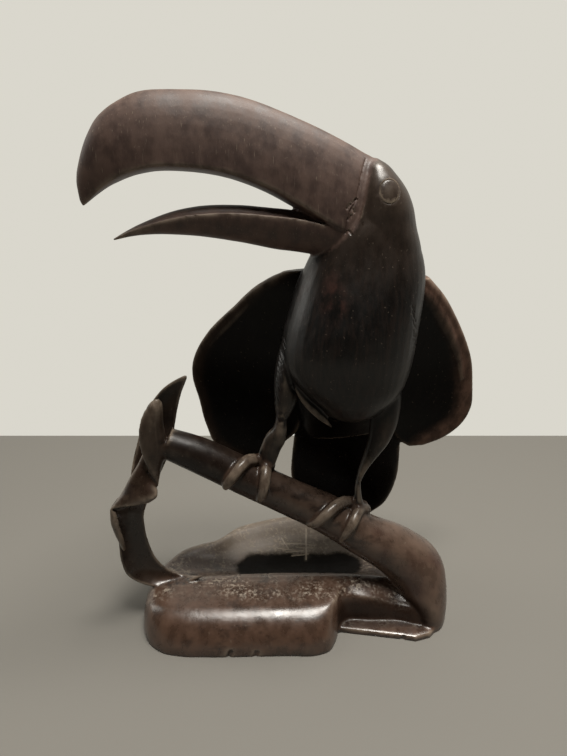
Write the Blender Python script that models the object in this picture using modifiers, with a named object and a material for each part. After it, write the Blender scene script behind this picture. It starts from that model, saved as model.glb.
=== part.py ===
"""A toucan perched on a sloping branch, carved with its curled leaf and its base from one block.

Metres, +Z up. The origin is on the underside of the base, under the middle of its length. The bird's
breast and the front of the base face -Y, and the bill points to -X. Each form is lofted through a
short table of stations, and the forms are then fused, eased at their joins like carved wood, and cut
flat below.
"""

import math

import bmesh
import bpy
import numpy as np
from mathutils import Matrix, Vector

# Driving sizes, in metres. The bill, the limbs and the leaf have their own widths and thicknesses.
FIGURE_HEIGHT = 0.300  # table to the crest of the bill
BODY_WIDTH = 0.077
BODY_DEPTH = 0.067
HEAD_WIDTH = 0.041
BILL_WIDTH = 0.031
BILL_FLOOR = 0.0025  # how far the upper bill's underside bulges below its side edges
BROW_STEP = 0.0016  # the head's edge stands this far out round the bill
WING_THICKNESS = 0.0085
TAIL_THICKNESS = 0.0085
LEAF_THICKNESS = 0.0044
BRANCH_DIAMETER = 0.0225
TOE_DIAMETER = 0.0075
LEDGE_HEIGHT = 0.0038

# Stations are given in shares of the figure's height, three-hundredths of it, so about a millimetre
# each.
SHARE = FIGURE_HEIGHT / 300
BILL_TURN = math.radians(7.5)  # the bill turns this far forward of the side
BILL_ROOT = 39  # where it turns, along X

# How the forms are fused.
FUSE_CELL = 0.0013
EASE_ROUNDS = 3
TRIANGLES = 9400
SKIRT = 0.006  # wood that runs on below the table, before the flat cut
SECTION_SIDES = 28
STEPS = 6  # sections made between two stations

WOOD_COLOUR = (0.045, 0.026, 0.02, 1.0)

# The body, from the underside of the belly to the neck: x, y, z, then shares of half the body's width
# and depth for the half-width, the front and the back.
BODY = [
    (31, -6, 126.5, 0.10, 0.12, 0.25),
    (31, -4.5, 129.5, 0.32, 0.38, 0.5),
    (31, -2.5, 137, 0.58, 0.66, 0.75),
    (30, -1, 146, 0.80, 0.85, 0.9),
    (28.5, 0, 157, 0.94, 0.95, 0.98),
    (28.5, 0, 167, 0.985, 0.98, 1.0),
    (29.5, 0, 177, 0.985, 0.96, 1.0),
    (33, 0, 196, 0.945, 0.85, 0.95),
    (35.5, 0, 209, 0.89, 0.75, 0.88),
    (37, 0, 221, 0.79, 0.67, 0.78),
    (38, 0, 234, 0.62, 0.62, 0.68),
    (40, 0, 244, 0.45, 0.55, 0.6),
]
# The head, from the neck to the crown: x, y, z, half-length along the bill, then its two cheeks as
# shares of half the head's width.
HEAD = [
    (40, 0, 214, 28, 1.05, 1.15),
    (41, 0, 224, 25.5, 1.02, 1.12),
    (42, 0, 236, 21, 1.0, 1.06),
    (42.5, 0, 246, 18, 1.0, 1.02),
    (42, 0, 254.5, 14.5, 0.93, 0.95),
    (40.5, 0, 262, 10, 0.74, 0.76),
    (39, 0, 267, 6.5, 0.5, 0.5),
    (38, 0, 269.8, 2.5, 0.2, 0.2),
]
# The brow: the head's edge round the bill, then back into the head. Upper x and z, lower x and z,
# half-width as a share of half the bill's width.
BROW = [
    (36.5, 270, 24.5, 226, 1.0),
    (38.5, 270, 26.5, 224, 1.03),
    (42, 267, 30.5, 221, 1.03),
    (47, 260, 36, 219, 0.9),
]
# The upper bill, from inside the head to its tip: a side edge's x and z, the crest's x and z, and its
# half-width as a share of half the bill's width.
UPPER_BILL = [
    (42, 228, 46, 262, 0.85),
    (34, 230, 40, 268.5, 0.98),
    (20, 235.5, 32, 273, 1.0),
    (3, 245, 16, 281, 1.0),
    (-16, 255, -6, 290, 0.99),
    (-38, 262.5, -32, 298, 0.97),
    (-58, 265, -57, 300, 0.93),
    (-77, 264, -84.5, 296, 0.84),
    (-89, 260, -100, 284, 0.68),
    (-97.5, 255, -107, 270, 0.46),
    (-103.5, 250, -110, 258, 0.25),
    (-108, 246, -109.5, 249, 0.08),
]
# The lower bill: its rim's x and z, the keel's x and z, how high the tongue stands over the rim, its
# width's share.
LOWER_BILL = [
    (36, 229, 38, 214, 3, 0.9),
    (20, 234.5, 18, 218.5, 4, 0.93),
    (1, 239.5, 2, 222, 4, 0.92),
    (-15, 241.5, -12, 224, 4, 0.88),
    (-35, 243, -32, 228, 4, 0.82),
    (-55, 242, -53, 231, 3.6, 0.7),
    (-74, 238, -74, 232, 2.4, 0.48),
    (-87, 233.5, -86, 231, 1, 0.25),
    (-95, 229.8, -95, 229, 0.3, 0.07),
]
TONGUE_WIDTH = 0.78  # of the lower bill's

# Wings and tail: one edge's x, y, z, the other edge's, the thickness's share and how far it bows.
LEFT_WING = [
    (54, 5, 210, 74, 8, 208, 1.6, 0),
    (48, 4, 199, 84.5, 13, 197, 1.7, -1),
    (43, 5, 181, 97, 20, 179, 1.5, -3),
    (42, 8, 160, 107.5, 25, 158, 1.2, -4.5),
    (46, 13, 140, 112, 29, 139, 1.05, -5),
    (55, 20, 120, 113, 32, 119, 0.95, -4),
    (61, 26, 107, 107, 33.5, 107, 0.9, -3),
    (67, 30, 99, 97, 34, 99, 0.8, -1.5),
    (74, 32, 94, 86, 34.5, 94, 0.55, -0.5),
]
RIGHT_WING = [
    (12, 6, 213, -8, 9, 211, 1.5, 0),
    (12, 5, 205, -22, 12, 203.5, 1.7, 1),
    (10, 5, 192, -37, 17, 190, 1.5, 2.5),
    (8, 7, 176, -53, 22, 174, 1.25, 4),
    (6, 9, 160, -63, 25, 158, 1.1, 5),
    (5, 13, 144, -65.5, 28, 143, 1.0, 5),
    (4.5, 19, 127, -62, 31, 125, 0.95, 4),
    (3.5, 23, 116, -60.5, 32, 115, 0.95, 3.5),
    (1, 26, 107, -58, 33, 105.5, 0.9, 3),
    (-6, 28.5, 99, -55.5, 34, 97.5, 0.85, 1.8),
    (-15, 31, 91, -50, 34.5, 91, 0.75, 1),
    (-24, 33, 84, -40, 35, 85, 0.5, 0.3),
]
TAIL = [
    (4, 22, 138, 52, 22, 138, 1.6, 0),
    (0, 26, 120, 62, 26, 120, 1.4, 0),
    (-1, 30, 104, 68, 30, 104, 1.1, -1),
    (-2.5, 33, 87, 69.5, 33, 87, 1.0, -2),
    (-3, 35, 71, 69.3, 35, 71, 1.0, -2),
    (0, 36.5, 58, 66.5, 36.5, 58, 0.95, -1.5),
    (6, 37.5, 48.5, 62, 37.5, 48.5, 0.85, -1),
    (17, 38, 41.5, 53, 38, 40.5, 0.6, 0),
]
# The rolled upper edges of the wings: x, y, z and two half-thicknesses.
LEFT_SHOULDER = [
    (62, 6.5, 202.5, 8, 8.5),
    (70, 9, 198, 7.6, 7.4),
    (78.5, 13, 189.5, 6.8, 6.4),
    (88.5, 18, 175.5, 5.4, 5),
    (98, 23, 158, 3.8, 3.8),
    (103.5, 26.5, 142, 2.6, 2.6),
]
RIGHT_SHOULDER = [
    (5, 6.5, 205.5, 6, 6.5),
    (-8.5, 9.5, 204.5, 5.6, 5.8),
    (-20.5, 12.5, 198, 5.0, 5.2),
    (-34.5, 17, 184.5, 4.3, 4.4),
    (-49, 22, 169, 3.5, 3.5),
    (-58.5, 25, 155.5, 2.6, 2.6),
]
# The rump between the back and the tail: x, y, z, half-depth and half-width.
RUMP = [
    (29, 8, 176, 20, 26),
    (28, 12, 156, 19, 28),
    (29, 18, 136, 15, 28.5),
    (31, 24, 119, 10.5, 28),
    (33, 28.5, 105, 6, 26),
]
# The branch from its root to the leaf: x, y, z, half-thickness across and sideways as shares of half its
# diameter.
BRANCH = [
    (81, -8, -4, 1.15, 2.3),
    (81, -8, 12, 1.22, 2.15),
    (75.5, -8, 28, 1.5, 1.7),
    (61, -8, 41, 1.42, 1.35),
    (42, -9, 52, 1.2, 1.17),
    (17, -9, 67.5, 1.07, 1.05),
    (-5, -9, 78.5, 1.0, 1.0),
    (-33, -10, 93.5, 0.98, 1.0),
    (-59, -11, 107.5, 0.94, 0.96),
    (-76, -12, 115, 0.8, 0.85),
]
# The flat cut on the root's right side: a place on it and the way that it faces.
SIDE_PLACE = (92, -4, 32)
SIDE_WAY = (0.93, 0.28, 0.24)
# The leaf curled round the branch's end, in four strips that run into one another: one edge's x, y, z,
# the other edge's, the thickness's share and how far it bows.
BACK_LOBE = [
    (-98, -17, 90, -83, -12, 90, 0.7, 0),
    (-97, -11, 101, -79, -8, 98, 0.8, 1.5),
    (-94, -9, 112.5, -76, -5, 105, 0.9, 2.5),
    (-91, -8, 122.5, -73.5, -4, 115, 0.9, 3),
    (-86.5, -8, 133, -71.3, -4, 124.5, 0.9, 3),
    (-81, -8, 142, -69.2, -5, 134, 0.85, 2.5),
    (-74.5, -8, 148.5, -66.6, -6, 143, 0.75, 1.5),
    (-67.6, -8, 152.6, -64, -7, 149.4, 0.65, 0.5),
    (-63.6, -8, 154.6, -62.4, -8, 153.4, 0.5, 0),
]
FRONT_LOBE = [
    (-81.5, -22, 92, -80.8, -21, 91.5, 0.6, 0),
    (-82.6, -23, 96.5, -80.6, -19.5, 95, 0.8, -0.5),
    (-84.4, -24, 103.7, -79, -17, 102, 0.9, -1.5),
    (-87, -24.5, 113, -75.8, -15, 110, 0.9, -3),
    (-88.4, -24, 124, -75.2, -15, 121, 0.85, -4),
    (-87.2, -23, 132, -75.8, -16, 129, 0.8, -4),
    (-84.4, -22, 138.5, -75.4, -17, 137, 0.75, -3),
    (-80.8, -21, 143, -75.6, -18, 142.4, 0.7, -1),
    (-78.2, -20.5, 144.4, -76.6, -19.5, 144.2, 0.5, 0),
]
FLAP = [
    (-89, -13, 109, -86, -15, 109, 0.8, 0),
    (-92, -16, 103.5, -84.5, -18.5, 102.5, 1.0, 0.5),
    (-96.5, -19, 96.5, -81.5, -22.5, 94.5, 1.05, 1),
    (-100.8, -22.5, 88.5, -79.5, -25, 90, 1.05, 1.5),
    (-104.6, -25, 83.5, -80.5, -27, 87, 0.95, 1.5),
    (-107.2, -26.5, 80, -84.5, -27.5, 84.3, 0.8, 1),
]
RIBBON = [
    (-104, -22, 85, -83.5, -23.5, 88, 0.9, 0),
    (-107.6, -25, 79.5, -86, -23.5, 83.5, 1.0, -1.5),
    (-108, -25, 72, -90, -18.5, 72.5, 0.9, -4),
    (-106.2, -24, 64.5, -91, -16, 64, 0.9, -4.5),
    (-105.6, -22.5, 54, -90.3, -14.5, 53, 0.9, -4),
    (-105.4, -22, 42, -87, -13, 40, 0.95, -3.5),
    (-102.8, -21, 31.5, -81.5, -12, 31.5, 1.0, -3),
    (-94, -19.5, 24, -72, -12, 26.5, 1.0, -2),
    (-79, -19, 21.5, -65, -13, 25.5, 0.9, -1),
    (-67, -18, 23.5, -60.5, -15, 27, 0.7, 0),
    (-58.5, -16.5, 27, -57, -16, 28.2, 0.5, 0),
]
# The ribbon's left edge, turned over towards the front.
MARGIN = [
    (-107.6, -25.5, 80, -103.8, -27, 79, 0.7, 0),
    (-107.3, -26, 72.6, -102.6, -28.5, 70, 0.75, 0.5),
    (-106, -25, 65.9, -101.8, -27.5, 62.7, 0.75, 0.5),
    (-104.5, -24, 58, -101.4, -25.5, 55.5, 0.7, 0),
    (-103, -22.5, 51, -102, -23, 50, 0.5, 0),
]
# Legs: x, y, z, half-thickness along the branch and across it.
RIGHT_LEG = [
    (-3.5, 2, 172, 5.5, 9),
    (-5.5, 0, 160, 6.6, 10),
    (-6.6, -2, 150, 7.0, 10),
    (-6.4, -3.5, 142, 7.2, 9.5),
    (-7.6, -5, 134.5, 5.8, 7.5),
    (-9.2, -6.5, 127, 3.7, 5),
    (-10.2, -7.5, 121.3, 4.4, 5),
    (-12.4, -8, 116.3, 6.0, 5),
    (-14.8, -8.5, 111.5, 5.9, 4.6),
    (-16.6, -9, 107, 5.9, 4.4),
    (-18.6, -10, 100, 5.4, 4.4),
]
LEFT_LEG = [
    (47, 3, 160, 13.5, 16),
    (50.5, 1, 147, 10.5, 13.5),
    (51.5, -2, 135, 9, 10.5),
    (50.3, -4.5, 123.5, 8, 8),
    (48, -6, 115, 6.4, 6.4),
    (43.8, -7, 106, 4.2, 5),
    (40, -8, 98.5, 2.7, 4.2),
    (36.8, -9, 89.5, 1.9, 3.8),
    (36.8, -9, 79.5, 2.3, 3.9),
    (37.5, -9.5, 72, 3.4, 4.5),
    (37.8, -10, 64, 4.6, 5),
]
# The pointed flap where the thigh leaves the belly: x, y, z and two half-thicknesses.
TUFT = [
    (-2.5, -11, 154, 1.6, 1.6),
    (3.6, -13.5, 143, 2.8, 2.6),
    (12, -14.5, 133.5, 2.6, 2.4),
    (19.8, -13, 124.8, 0.6, 0.6),
]
# Toes grip the branch: x along it, then the angle round it from level front, in degrees. Two of each
# foot cross the front and two go over the back.
TOES = [
    [(-26, 108), (-30, 90), (-34.5, 70), (-37, 40), (-38.3, 8), (-38.6, -20), (-38, -45)],
    [(-25.5, 105), (-24.3, 78), (-23.2, 50), (-21.6, 22), (-20.3, -3), (-20, -30)],
    [(-24, 95), (-27, 116), (-31, 142), (-34, 168)],
    [(-22, 95), (-22, 116), (-22.5, 142), (-23, 165)],
    [(34, 108), (28, 98), (21.5, 78), (17.5, 52), (14.3, 20), (11.5, -14), (9, -36)],
    [(34, 100), (30.5, 84), (29, 62), (28.5, 34), (28.3, 5), (29, -28)],
    [(33, 95), (30, 116), (27, 142), (24, 168)],
    [(34.5, 95), (35, 116), (35.5, 142), (35, 165)],
]
TOE_SHARES = (1.15, 1.05, 1.0, 0.95, 0.9, 0.75, 0.4)  # of half the toe's diameter, from the ankle to the claw

# The base from its left end: x, the front, then y and z of the roll, of its lip, of the hollow and of
# the back ridge, and the back.
BASE = [
    (-94.5, -20, -15, 8, -12, 8, -9, 8, -6, 8, 0),
    (-91.5, -33, -23, 16, -14, 17, -6, 16, 1, 15.5, 10),
    (-86, -43, -29, 20.5, -15, 22, -3, 19.5, 9, 18.5, 18),
    (-78, -49, -31, 22.3, -13, 23, 2, 18, 18, 20.5, 29),
    (-66, -52, -32, 22.8, -11, 23, 6, 15, 25, 21.5, 36),
    (-53, -52.5, -32, 22.8, -9, 22.8, 10, 12.5, 31, 22.5, 41),
    (-43, -52.5, -32, 22.8, -8, 22.8, 12, 11.5, 41, 23.5, 54),
    (-25, -52, -32, 22.8, -7, 22.8, 14, 10.5, 49, 25.5, 61),
    (-5, -51.5, -32, 22.8, -6, 22.8, 15, 10.5, 53, 27.5, 64),
    (12, -51, -31, 23, -6, 22.8, 15, 11, 53, 28, 64),
    (18, -48.5, -30, 23, -6, 22.8, 14, 11, 53, 28, 64),
    (23, -40, -27, 23, -6, 22.8, 14, 11.5, 52, 28, 63.5),
    (26.5, -30, -23, 22.5, -7, 23, 14, 12, 52, 28, 63),
    (29.5, -27, -22, 21, -7, 23, 14, 12.5, 51, 28, 62.5),
    (45, -26.5, -21, 18.5, -8, 22.5, 14, 14, 46, 28, 58),
    (62, -27, -21, 13.5, -9, 21.5, 10, 19, 36, 27, 48),
    (76, -31, -22, 14, -9, 24, 5, 26, 22, 25, 36),
    (87, -27, -16, 17, -9, 22, 0, 24, 8, 20, 20),
    (93.5, -15, -11, 12, -9, 12.5, -7, 13, -4, 12, 2),
]
# The ledge in the notch: x and its front edge.
LEDGE = [(18, -32), (30, -33.5), (48, -36.5), (60, -38.5), (70, -40.5), (79, -37.5), (88, -28)]
ROLL_TURNS = [math.radians(turn) for turn in (30, 50, 70, 90)]  # places on the roll's round front


def smooth_through(rows, steps=STEPS):
    """Rows read from one smooth curve through the rows of a station table."""
    rows = np.array(rows, float)
    gaps = np.linalg.norm(np.diff(rows[:, :3], axis=0), axis=1)
    places = np.concatenate([[0.0], np.cumsum(gaps)])
    slopes = np.gradient(rows, places, axis=0)
    made = []
    for i, gap in enumerate(gaps):
        for t in np.arange(steps) / steps:
            made.append(
                rows[i] * (1 + 2 * t) * (1 - t) ** 2
                + slopes[i] * gap * t * (1 - t) ** 2
                + rows[i + 1] * t * t * (3 - 2 * t)
                - slopes[i + 1] * gap * t * t * (1 - t)
            )
    return made + [rows[-1]]


def to_metres(rows):
    return [tuple(value * SHARE for value in row) for row in rows]


def section(centre, side, up, down, bow=Vector((0, 0, 0)), fullness=1.0):
    """Points round a section: side is its half-width, up and down its two half-heights, bow what bends it."""
    points = []
    for i in range(SECTION_SIDES):
        angle = 2 * math.pi * i / SECTION_SIDES
        across = math.copysign(abs(math.cos(angle)) ** fullness, math.cos(angle))
        rise = abs(math.sin(angle)) ** fullness
        height = up if math.sin(angle) > 0 else down
        points.append(centre + side * across + height * rise + bow * across * across)
    return points


def loft(mesh, sections):
    """Adds a closed skin through the sections, with a flat cap at each end."""
    rows = [[mesh.verts.new(point) for point in ring] for ring in sections]
    count = len(rows[0])
    faces = [mesh.faces.new(list(reversed(rows[0]))), mesh.faces.new(rows[-1])]
    for near, far in zip(rows, rows[1:]):
        for i in range(count):
            j = (i + 1) % count
            faces.append(mesh.faces.new((near[i], near[j], far[j], far[i])))
    bmesh.ops.recalc_face_normals(mesh, faces=faces)


def directions(points):
    """The direction of travel at each point of a path."""
    return [Vector(way).normalized() for way in np.gradient(np.array(points), axis=0)]


def rod(mesh, rows, sideways=Vector((0, 1, 0))):
    """A rod through rows of x, y, z, its half-thickness across the path and its half-thickness sideways."""
    rows = smooth_through(rows)
    sections = []
    for row, along in zip(rows, directions([row[:3] for row in rows])):
        side = (sideways - along * sideways.dot(along)).normalized()
        rise = along.cross(side)
        sections.append(section(Vector(row[:3]), side * row[4], rise * row[3], rise * -row[3]))
    loft(mesh, sections)


def blade(mesh, rows, thickness, fullness=0.7):
    """A blade through rows of one edge's x, y, z, the other edge's, the thickness's share and its bow."""
    rows = smooth_through(rows)
    middles = [(row[:3] + row[3:6]) / 2 for row in rows]
    sections = []
    for row, middle, along in zip(rows, middles, directions(middles)):
        side = Vector(row[3:6] - row[:3]) / 2
        face = side.cross(along).normalized()
        half = face * (thickness * row[6] / 2)
        bow = face * row[7]
        sections.append(section(Vector(middle) - bow, side, half, -half, bow, fullness))
    scale = Matrix.Scale(SHARE, 4)
    loft(mesh, [[scale @ point for point in ring] for ring in sections])


def body(mesh):
    half_width, half_depth = BODY_WIDTH / 2, BODY_DEPTH / 2
    for table, width, depth in ((BODY, half_width, half_depth), (HEAD, SHARE, HEAD_WIDTH / 2)):
        sections = []
        for x, y, z, side, front, back in smooth_through(table):
            centre = Vector((x, y, z)) * SHARE
            across, before = Vector((side * width, 0, 0)), Vector((0, -front * depth, 0))
            sections.append(section(centre, across, Vector((0, back * depth, 0)), before))
        loft(mesh, sections)


def bill_point(x, z):
    """A point on the bill's own middle plane, which turns forward from the head."""
    reach = (x - BILL_ROOT) * SHARE
    return Vector((x * SHARE, reach * math.tan(BILL_TURN), z * SHARE))


def bill(mesh):
    side = Vector((-math.sin(BILL_TURN), math.cos(BILL_TURN), 0)) * (BILL_WIDTH / 2)
    upper = []
    for x, z, crest_x, crest_z, width in smooth_through(UPPER_BILL):
        edge, crest = bill_point(x, z), bill_point(crest_x, crest_z)
        floor = (edge - crest).normalized() * (BILL_FLOOR * width)
        upper.append(section(edge, side * width, crest - edge, floor, fullness=0.86))
    loft(mesh, upper)
    lower = []
    for x, z, keel_x, keel_z, tongue, width in smooth_through(LOWER_BILL):
        rim, keel = bill_point(x, z), bill_point(keel_x, keel_z)
        ring = section(rim, side * width, (rim - keel) * 0.001, keel - rim, fullness=0.95)
        half = SECTION_SIDES // 2
        for i in range(half + 1):
            across = math.cos(math.pi * i / half)
            dome = math.sqrt(max(0.0, 1 - (across / TONGUE_WIDTH) ** 2))
            ring[i] = rim + side * width * across + (rim - keel).normalized() * (tongue * SHARE * dome)
        lower.append(ring)
    loft(mesh, lower)
    brow = []
    for x, z, low_x, low_z, width in smooth_through(BROW):
        crest, throat = bill_point(x, z), bill_point(low_x, low_z)
        middle = throat + (crest - throat) * 0.2
        across = side * width * (1 + 2 * BROW_STEP / BILL_WIDTH)
        brow.append(section(middle, across, crest - middle, throat - middle, fullness=0.86))
    loft(mesh, brow)


def wings_and_tail(mesh):
    for wing in (LEFT_WING, RIGHT_WING):
        blade(mesh, wing, WING_THICKNESS / SHARE)
    blade(mesh, TAIL, TAIL_THICKNESS / SHARE, fullness=0.7)
    for shoulder in (LEFT_SHOULDER, RIGHT_SHOULDER):
        rod(mesh, to_metres(shoulder))
    rod(mesh, to_metres(RUMP), sideways=Vector((1, 0, 0)))


def branch_rows():
    half = BRANCH_DIAMETER / 2
    rows = []
    for x, y, z, across, sideways in BRANCH:
        rows.append((x * SHARE, y * SHARE, z * SHARE, across * half, sideways * half))
    return rows


def cut_side(mesh):
    """Presses what stands past the root's flat side onto it."""
    place, way = Vector(SIDE_PLACE) * SHARE, Vector(SIDE_WAY).normalized()
    for vertex in mesh.verts:
        past = (vertex.co - place).dot(way)
        if past > 0:
            vertex.co -= way * past


def branch(mesh):
    rod(mesh, branch_rows())
    cut_side(mesh)


def on_branch(x, angle, above):
    """A point so far above the branch's skin: at x along it and an angle round it from level front."""
    rows = np.array(smooth_through(branch_rows()))
    ways = np.array(directions(rows[:, :3]))
    order = np.argsort(rows[:, 0])
    row = np.array([np.interp(x * SHARE, rows[order, 0], rows[order, i]) for i in range(5)])
    along = Vector([np.interp(x * SHARE, rows[order, 0], ways[order, i]) for i in range(3)]).normalized()
    front = Vector((0, -1, 0))
    rise = along.cross(front)
    if rise.z < 0:
        rise = -rise
    turn = math.radians(angle)
    out = front * (math.cos(turn) * (row[4] + above)) + rise * (math.sin(turn) * (row[3] + above))
    return Vector(row[:3]) + out


def legs_and_feet(mesh):
    for leg in (RIGHT_LEG, LEFT_LEG):
        rod(mesh, to_metres(leg))
    rod(mesh, to_metres(TUFT))
    for toe in TOES:
        rows = []
        for (x, angle), share in zip(toe, TOE_SHARES[-len(toe) :]):
            half = share * TOE_DIAMETER / 2
            rows.append((*on_branch(x, angle, half * 0.4), half, half))
        rod(mesh, rows, sideways=Vector((1, 0, 0.3)))


def leaf(mesh):
    for strip in (BACK_LOBE, FRONT_LOBE, FLAP, RIBBON, MARGIN):
        blade(mesh, strip, LEAF_THICKNESS / SHARE, fullness=0.6)


def base(mesh):
    sections = []
    for row in smooth_through(BASE):
        x, front, roll_y, roll_z, lip_y, lip_z, hollow_y, hollow_z, ridge_y, ridge_z, back = row
        below = -SKIRT / SHARE
        outline = [(0, front, below), (0, front, roll_z * 0.2)]
        for turn in ROLL_TURNS:
            outline.append((0, roll_y - (roll_y - front) * math.cos(turn), roll_z * math.sin(turn)))
        outline += [
            (0, lip_y, lip_z),
            (0, lip_y + (hollow_y - lip_y) * 0.3, hollow_z + (lip_z - hollow_z) * 0.5),
            (0, hollow_y, hollow_z),
            (0, hollow_y + (ridge_y - hollow_y) * 0.6, hollow_z + (ridge_z - hollow_z) * 0.35),
            (0, ridge_y, ridge_z),
            (0, back - (back - ridge_y) * 0.2, ridge_z * 0.75),
            (0, back, ridge_z * 0.3),
            (0, back - 1, below),
        ]
        curve = smooth_through(outline, steps=3)
        sections.append([Vector((x * SHARE, y * SHARE, z * SHARE)) for nothing, y, z in curve])
    loft(mesh, sections)
    ledge = []
    for x, front in LEDGE:
        centre = Vector((x, front / 2, 0)) * SHARE
        top, bottom = Vector((0, 0, LEDGE_HEIGHT)), Vector((0, 0, -SKIRT))
        ledge.append(section(centre, Vector((0, -front / 2 * SHARE, 0)), top, bottom, fullness=0.25))
    loft(mesh, ledge)
    cut_side(mesh)


def wood():
    material = bpy.data.materials.new("dark_hardwood")
    material.use_nodes = True
    shader = material.node_tree.nodes["Principled BSDF"]
    shader.inputs["Base Color"].default_value = WOOD_COLOUR
    shader.inputs["Roughness"].default_value = 0.35
    return material


def collection_named(name):
    made = bpy.data.collections.new(name)
    bpy.context.scene.collection.children.link(made)
    return made


def object_from(mesh, name, collection):
    data = bpy.data.meshes.new(name)
    mesh.to_mesh(data)
    mesh.free()
    made = bpy.data.objects.new(name, data)
    collection.objects.link(made)
    return made


def table_cutter(collection):
    """Everything below the table, to cut the underside flat."""
    reach, depth = 2 * FIGURE_HEIGHT, 4 * SKIRT
    mesh = bmesh.new()
    placing = Matrix.Translation((0, 0, -depth / 2)) @ Matrix.Diagonal((reach, reach, depth, 1))
    bmesh.ops.create_cube(mesh, size=1.0, matrix=placing)
    made = object_from(mesh, "table_cutter", collection)
    made.hide_render = True
    made.display_type = "WIRE"
    return made


def triangle_count(obj):
    bpy.context.view_layer.update()
    evaluated = obj.evaluated_get(bpy.context.evaluated_depsgraph_get())
    return sum(len(face.vertices) - 2 for face in evaluated.data.polygons)


def carve(cutters, carving):
    mesh = bmesh.new()
    for form in (branch, base, body, bill, wings_and_tail, legs_and_feet, leaf):
        form(mesh)
    toucan = object_from(mesh, "toucan_on_branch", carving)
    toucan.data.materials.append(wood())
    fuse = toucan.modifiers.new("fuse", "REMESH")
    fuse.mode = "VOXEL"
    fuse.voxel_size = FUSE_CELL
    ease = toucan.modifiers.new("ease", "SMOOTH")
    ease.factor = 0.5
    ease.iterations = EASE_ROUNDS
    thin = toucan.modifiers.new("thin", "DECIMATE")
    thin.ratio = TRIANGLES / triangle_count(toucan)
    flat = toucan.modifiers.new("flat_underside", "BOOLEAN")
    flat.operation = "DIFFERENCE"
    flat.object = table_cutter(cutters)


def main():
    for old in list(bpy.data.objects):
        bpy.data.objects.remove(old)
    carve(collection_named("cutters"), collection_named("toucan_figurine"))


main()
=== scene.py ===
# %% [markdown]
# # A toucan carved on its branch
#
# The real thing is one block of dark hardwood, about 300 mm tall: a toucan with its bill open, gripping
# a sloping branch that ends in a curled leaf and grows out of a rolled base. It was sawn, carved,
# scraped and oiled, and its bill, branch and base have been rubbed back to a duller brown than the
# polished body.
#
# A carver frees forms from a block and eases them into one another. This file does the same in order. It
# lofts each form through a short table of stations, fuses all of them, eases the joins, cuts the fine
# lines, and then gives the wood its finish. Z is up, the breast faces -Y, the bill points to -X, and
# every length is in metres.

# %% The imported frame
import math

import bmesh
import bpy
import numpy as np
from mathutils import Matrix, Vector
from mathutils.bvhtree import BVHTree
from mathutils.kdtree import KDTree


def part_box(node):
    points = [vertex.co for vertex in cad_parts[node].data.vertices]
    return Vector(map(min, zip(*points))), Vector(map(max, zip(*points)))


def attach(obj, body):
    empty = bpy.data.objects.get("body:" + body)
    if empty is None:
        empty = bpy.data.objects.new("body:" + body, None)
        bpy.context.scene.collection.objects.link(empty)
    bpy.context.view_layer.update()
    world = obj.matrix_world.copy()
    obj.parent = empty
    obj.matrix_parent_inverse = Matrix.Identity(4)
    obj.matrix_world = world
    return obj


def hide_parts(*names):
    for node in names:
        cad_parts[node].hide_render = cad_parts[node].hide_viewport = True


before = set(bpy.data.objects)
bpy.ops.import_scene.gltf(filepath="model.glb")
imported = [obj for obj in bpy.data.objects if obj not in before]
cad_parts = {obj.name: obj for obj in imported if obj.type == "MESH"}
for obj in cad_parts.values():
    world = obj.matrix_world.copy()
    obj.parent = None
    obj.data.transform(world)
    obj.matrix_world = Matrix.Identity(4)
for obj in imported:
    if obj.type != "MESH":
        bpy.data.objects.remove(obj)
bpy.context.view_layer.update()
BLOCK = "toucan_on_branch"
low_corner, high_corner = (Vector(corner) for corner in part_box(BLOCK))
print("the solid is", [round(side * 1000, 1) for side in high_corner - low_corner], "mm")

# %% [markdown]
# ## Sizes
#
# A figure like this is drawn from a few sizes. The height comes first. The stations further down are in
# shares of it, three-hundredths, so each share is about a millimetre and the whole figure grows or
# shrinks together.

# %% Driving sizes
FIGURE_HEIGHT = 0.300  # table to the crest of the bill
SHARE = FIGURE_HEIGHT / 300
BODY_WIDTH = 0.077
BODY_DEPTH = 0.067
HEAD_WIDTH = 0.041
BILL_WIDTH = 0.031
BILL_FLOOR = 0.0025  # how far the upper bill's underside bulges below its side edges
BROW_STEP = 0.0016  # the head's edge stands this far out round the bill
BILL_TURN = math.radians(7.5)  # the bill turns this far forward of the side
BILL_ROOT = 39  # where it turns, along X
WING_THICKNESS = 0.0085
TAIL_THICKNESS = 0.0085
LEAF_THICKNESS = 0.0044
BRANCH_DIAMETER = 0.0225
TOE_DIAMETER = 0.0075
LEDGE_HEIGHT = 0.0038
MM = 0.001

# %% [markdown]
# ## Lofting
#
# A loft joins a row of sections into a closed skin. Each form here has a table with a few stations, a
# smooth curve through them gives the sections between, and `section` draws one rounded outline from a
# half-width, an upper and a lower half-height. `rod` carries sections along a path and `blade` makes a
# thin, bowed slab for wings and leaf.

# %% Loft helpers
SECTION_SIDES = 40
STEPS = 8  # sections made between two stations


def smooth_through(rows, steps=STEPS):
    """Rows read from one smooth curve through the rows of a station table."""
    rows = np.array(rows, float)
    gaps = np.linalg.norm(np.diff(rows[:, :3], axis=0), axis=1)
    places = np.concatenate([[0.0], np.cumsum(gaps)])
    slopes = np.gradient(rows, places, axis=0)
    made = []
    for i, gap in enumerate(gaps):
        for t in np.arange(steps) / steps:
            made.append(
                rows[i] * (1 + 2 * t) * (1 - t) ** 2
                + slopes[i] * gap * t * (1 - t) ** 2
                + rows[i + 1] * t * t * (3 - 2 * t)
                - slopes[i + 1] * gap * t * t * (1 - t)
            )
    return made + [rows[-1]]


def to_metres(rows):
    return [tuple(value * SHARE for value in row) for row in rows]


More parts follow.
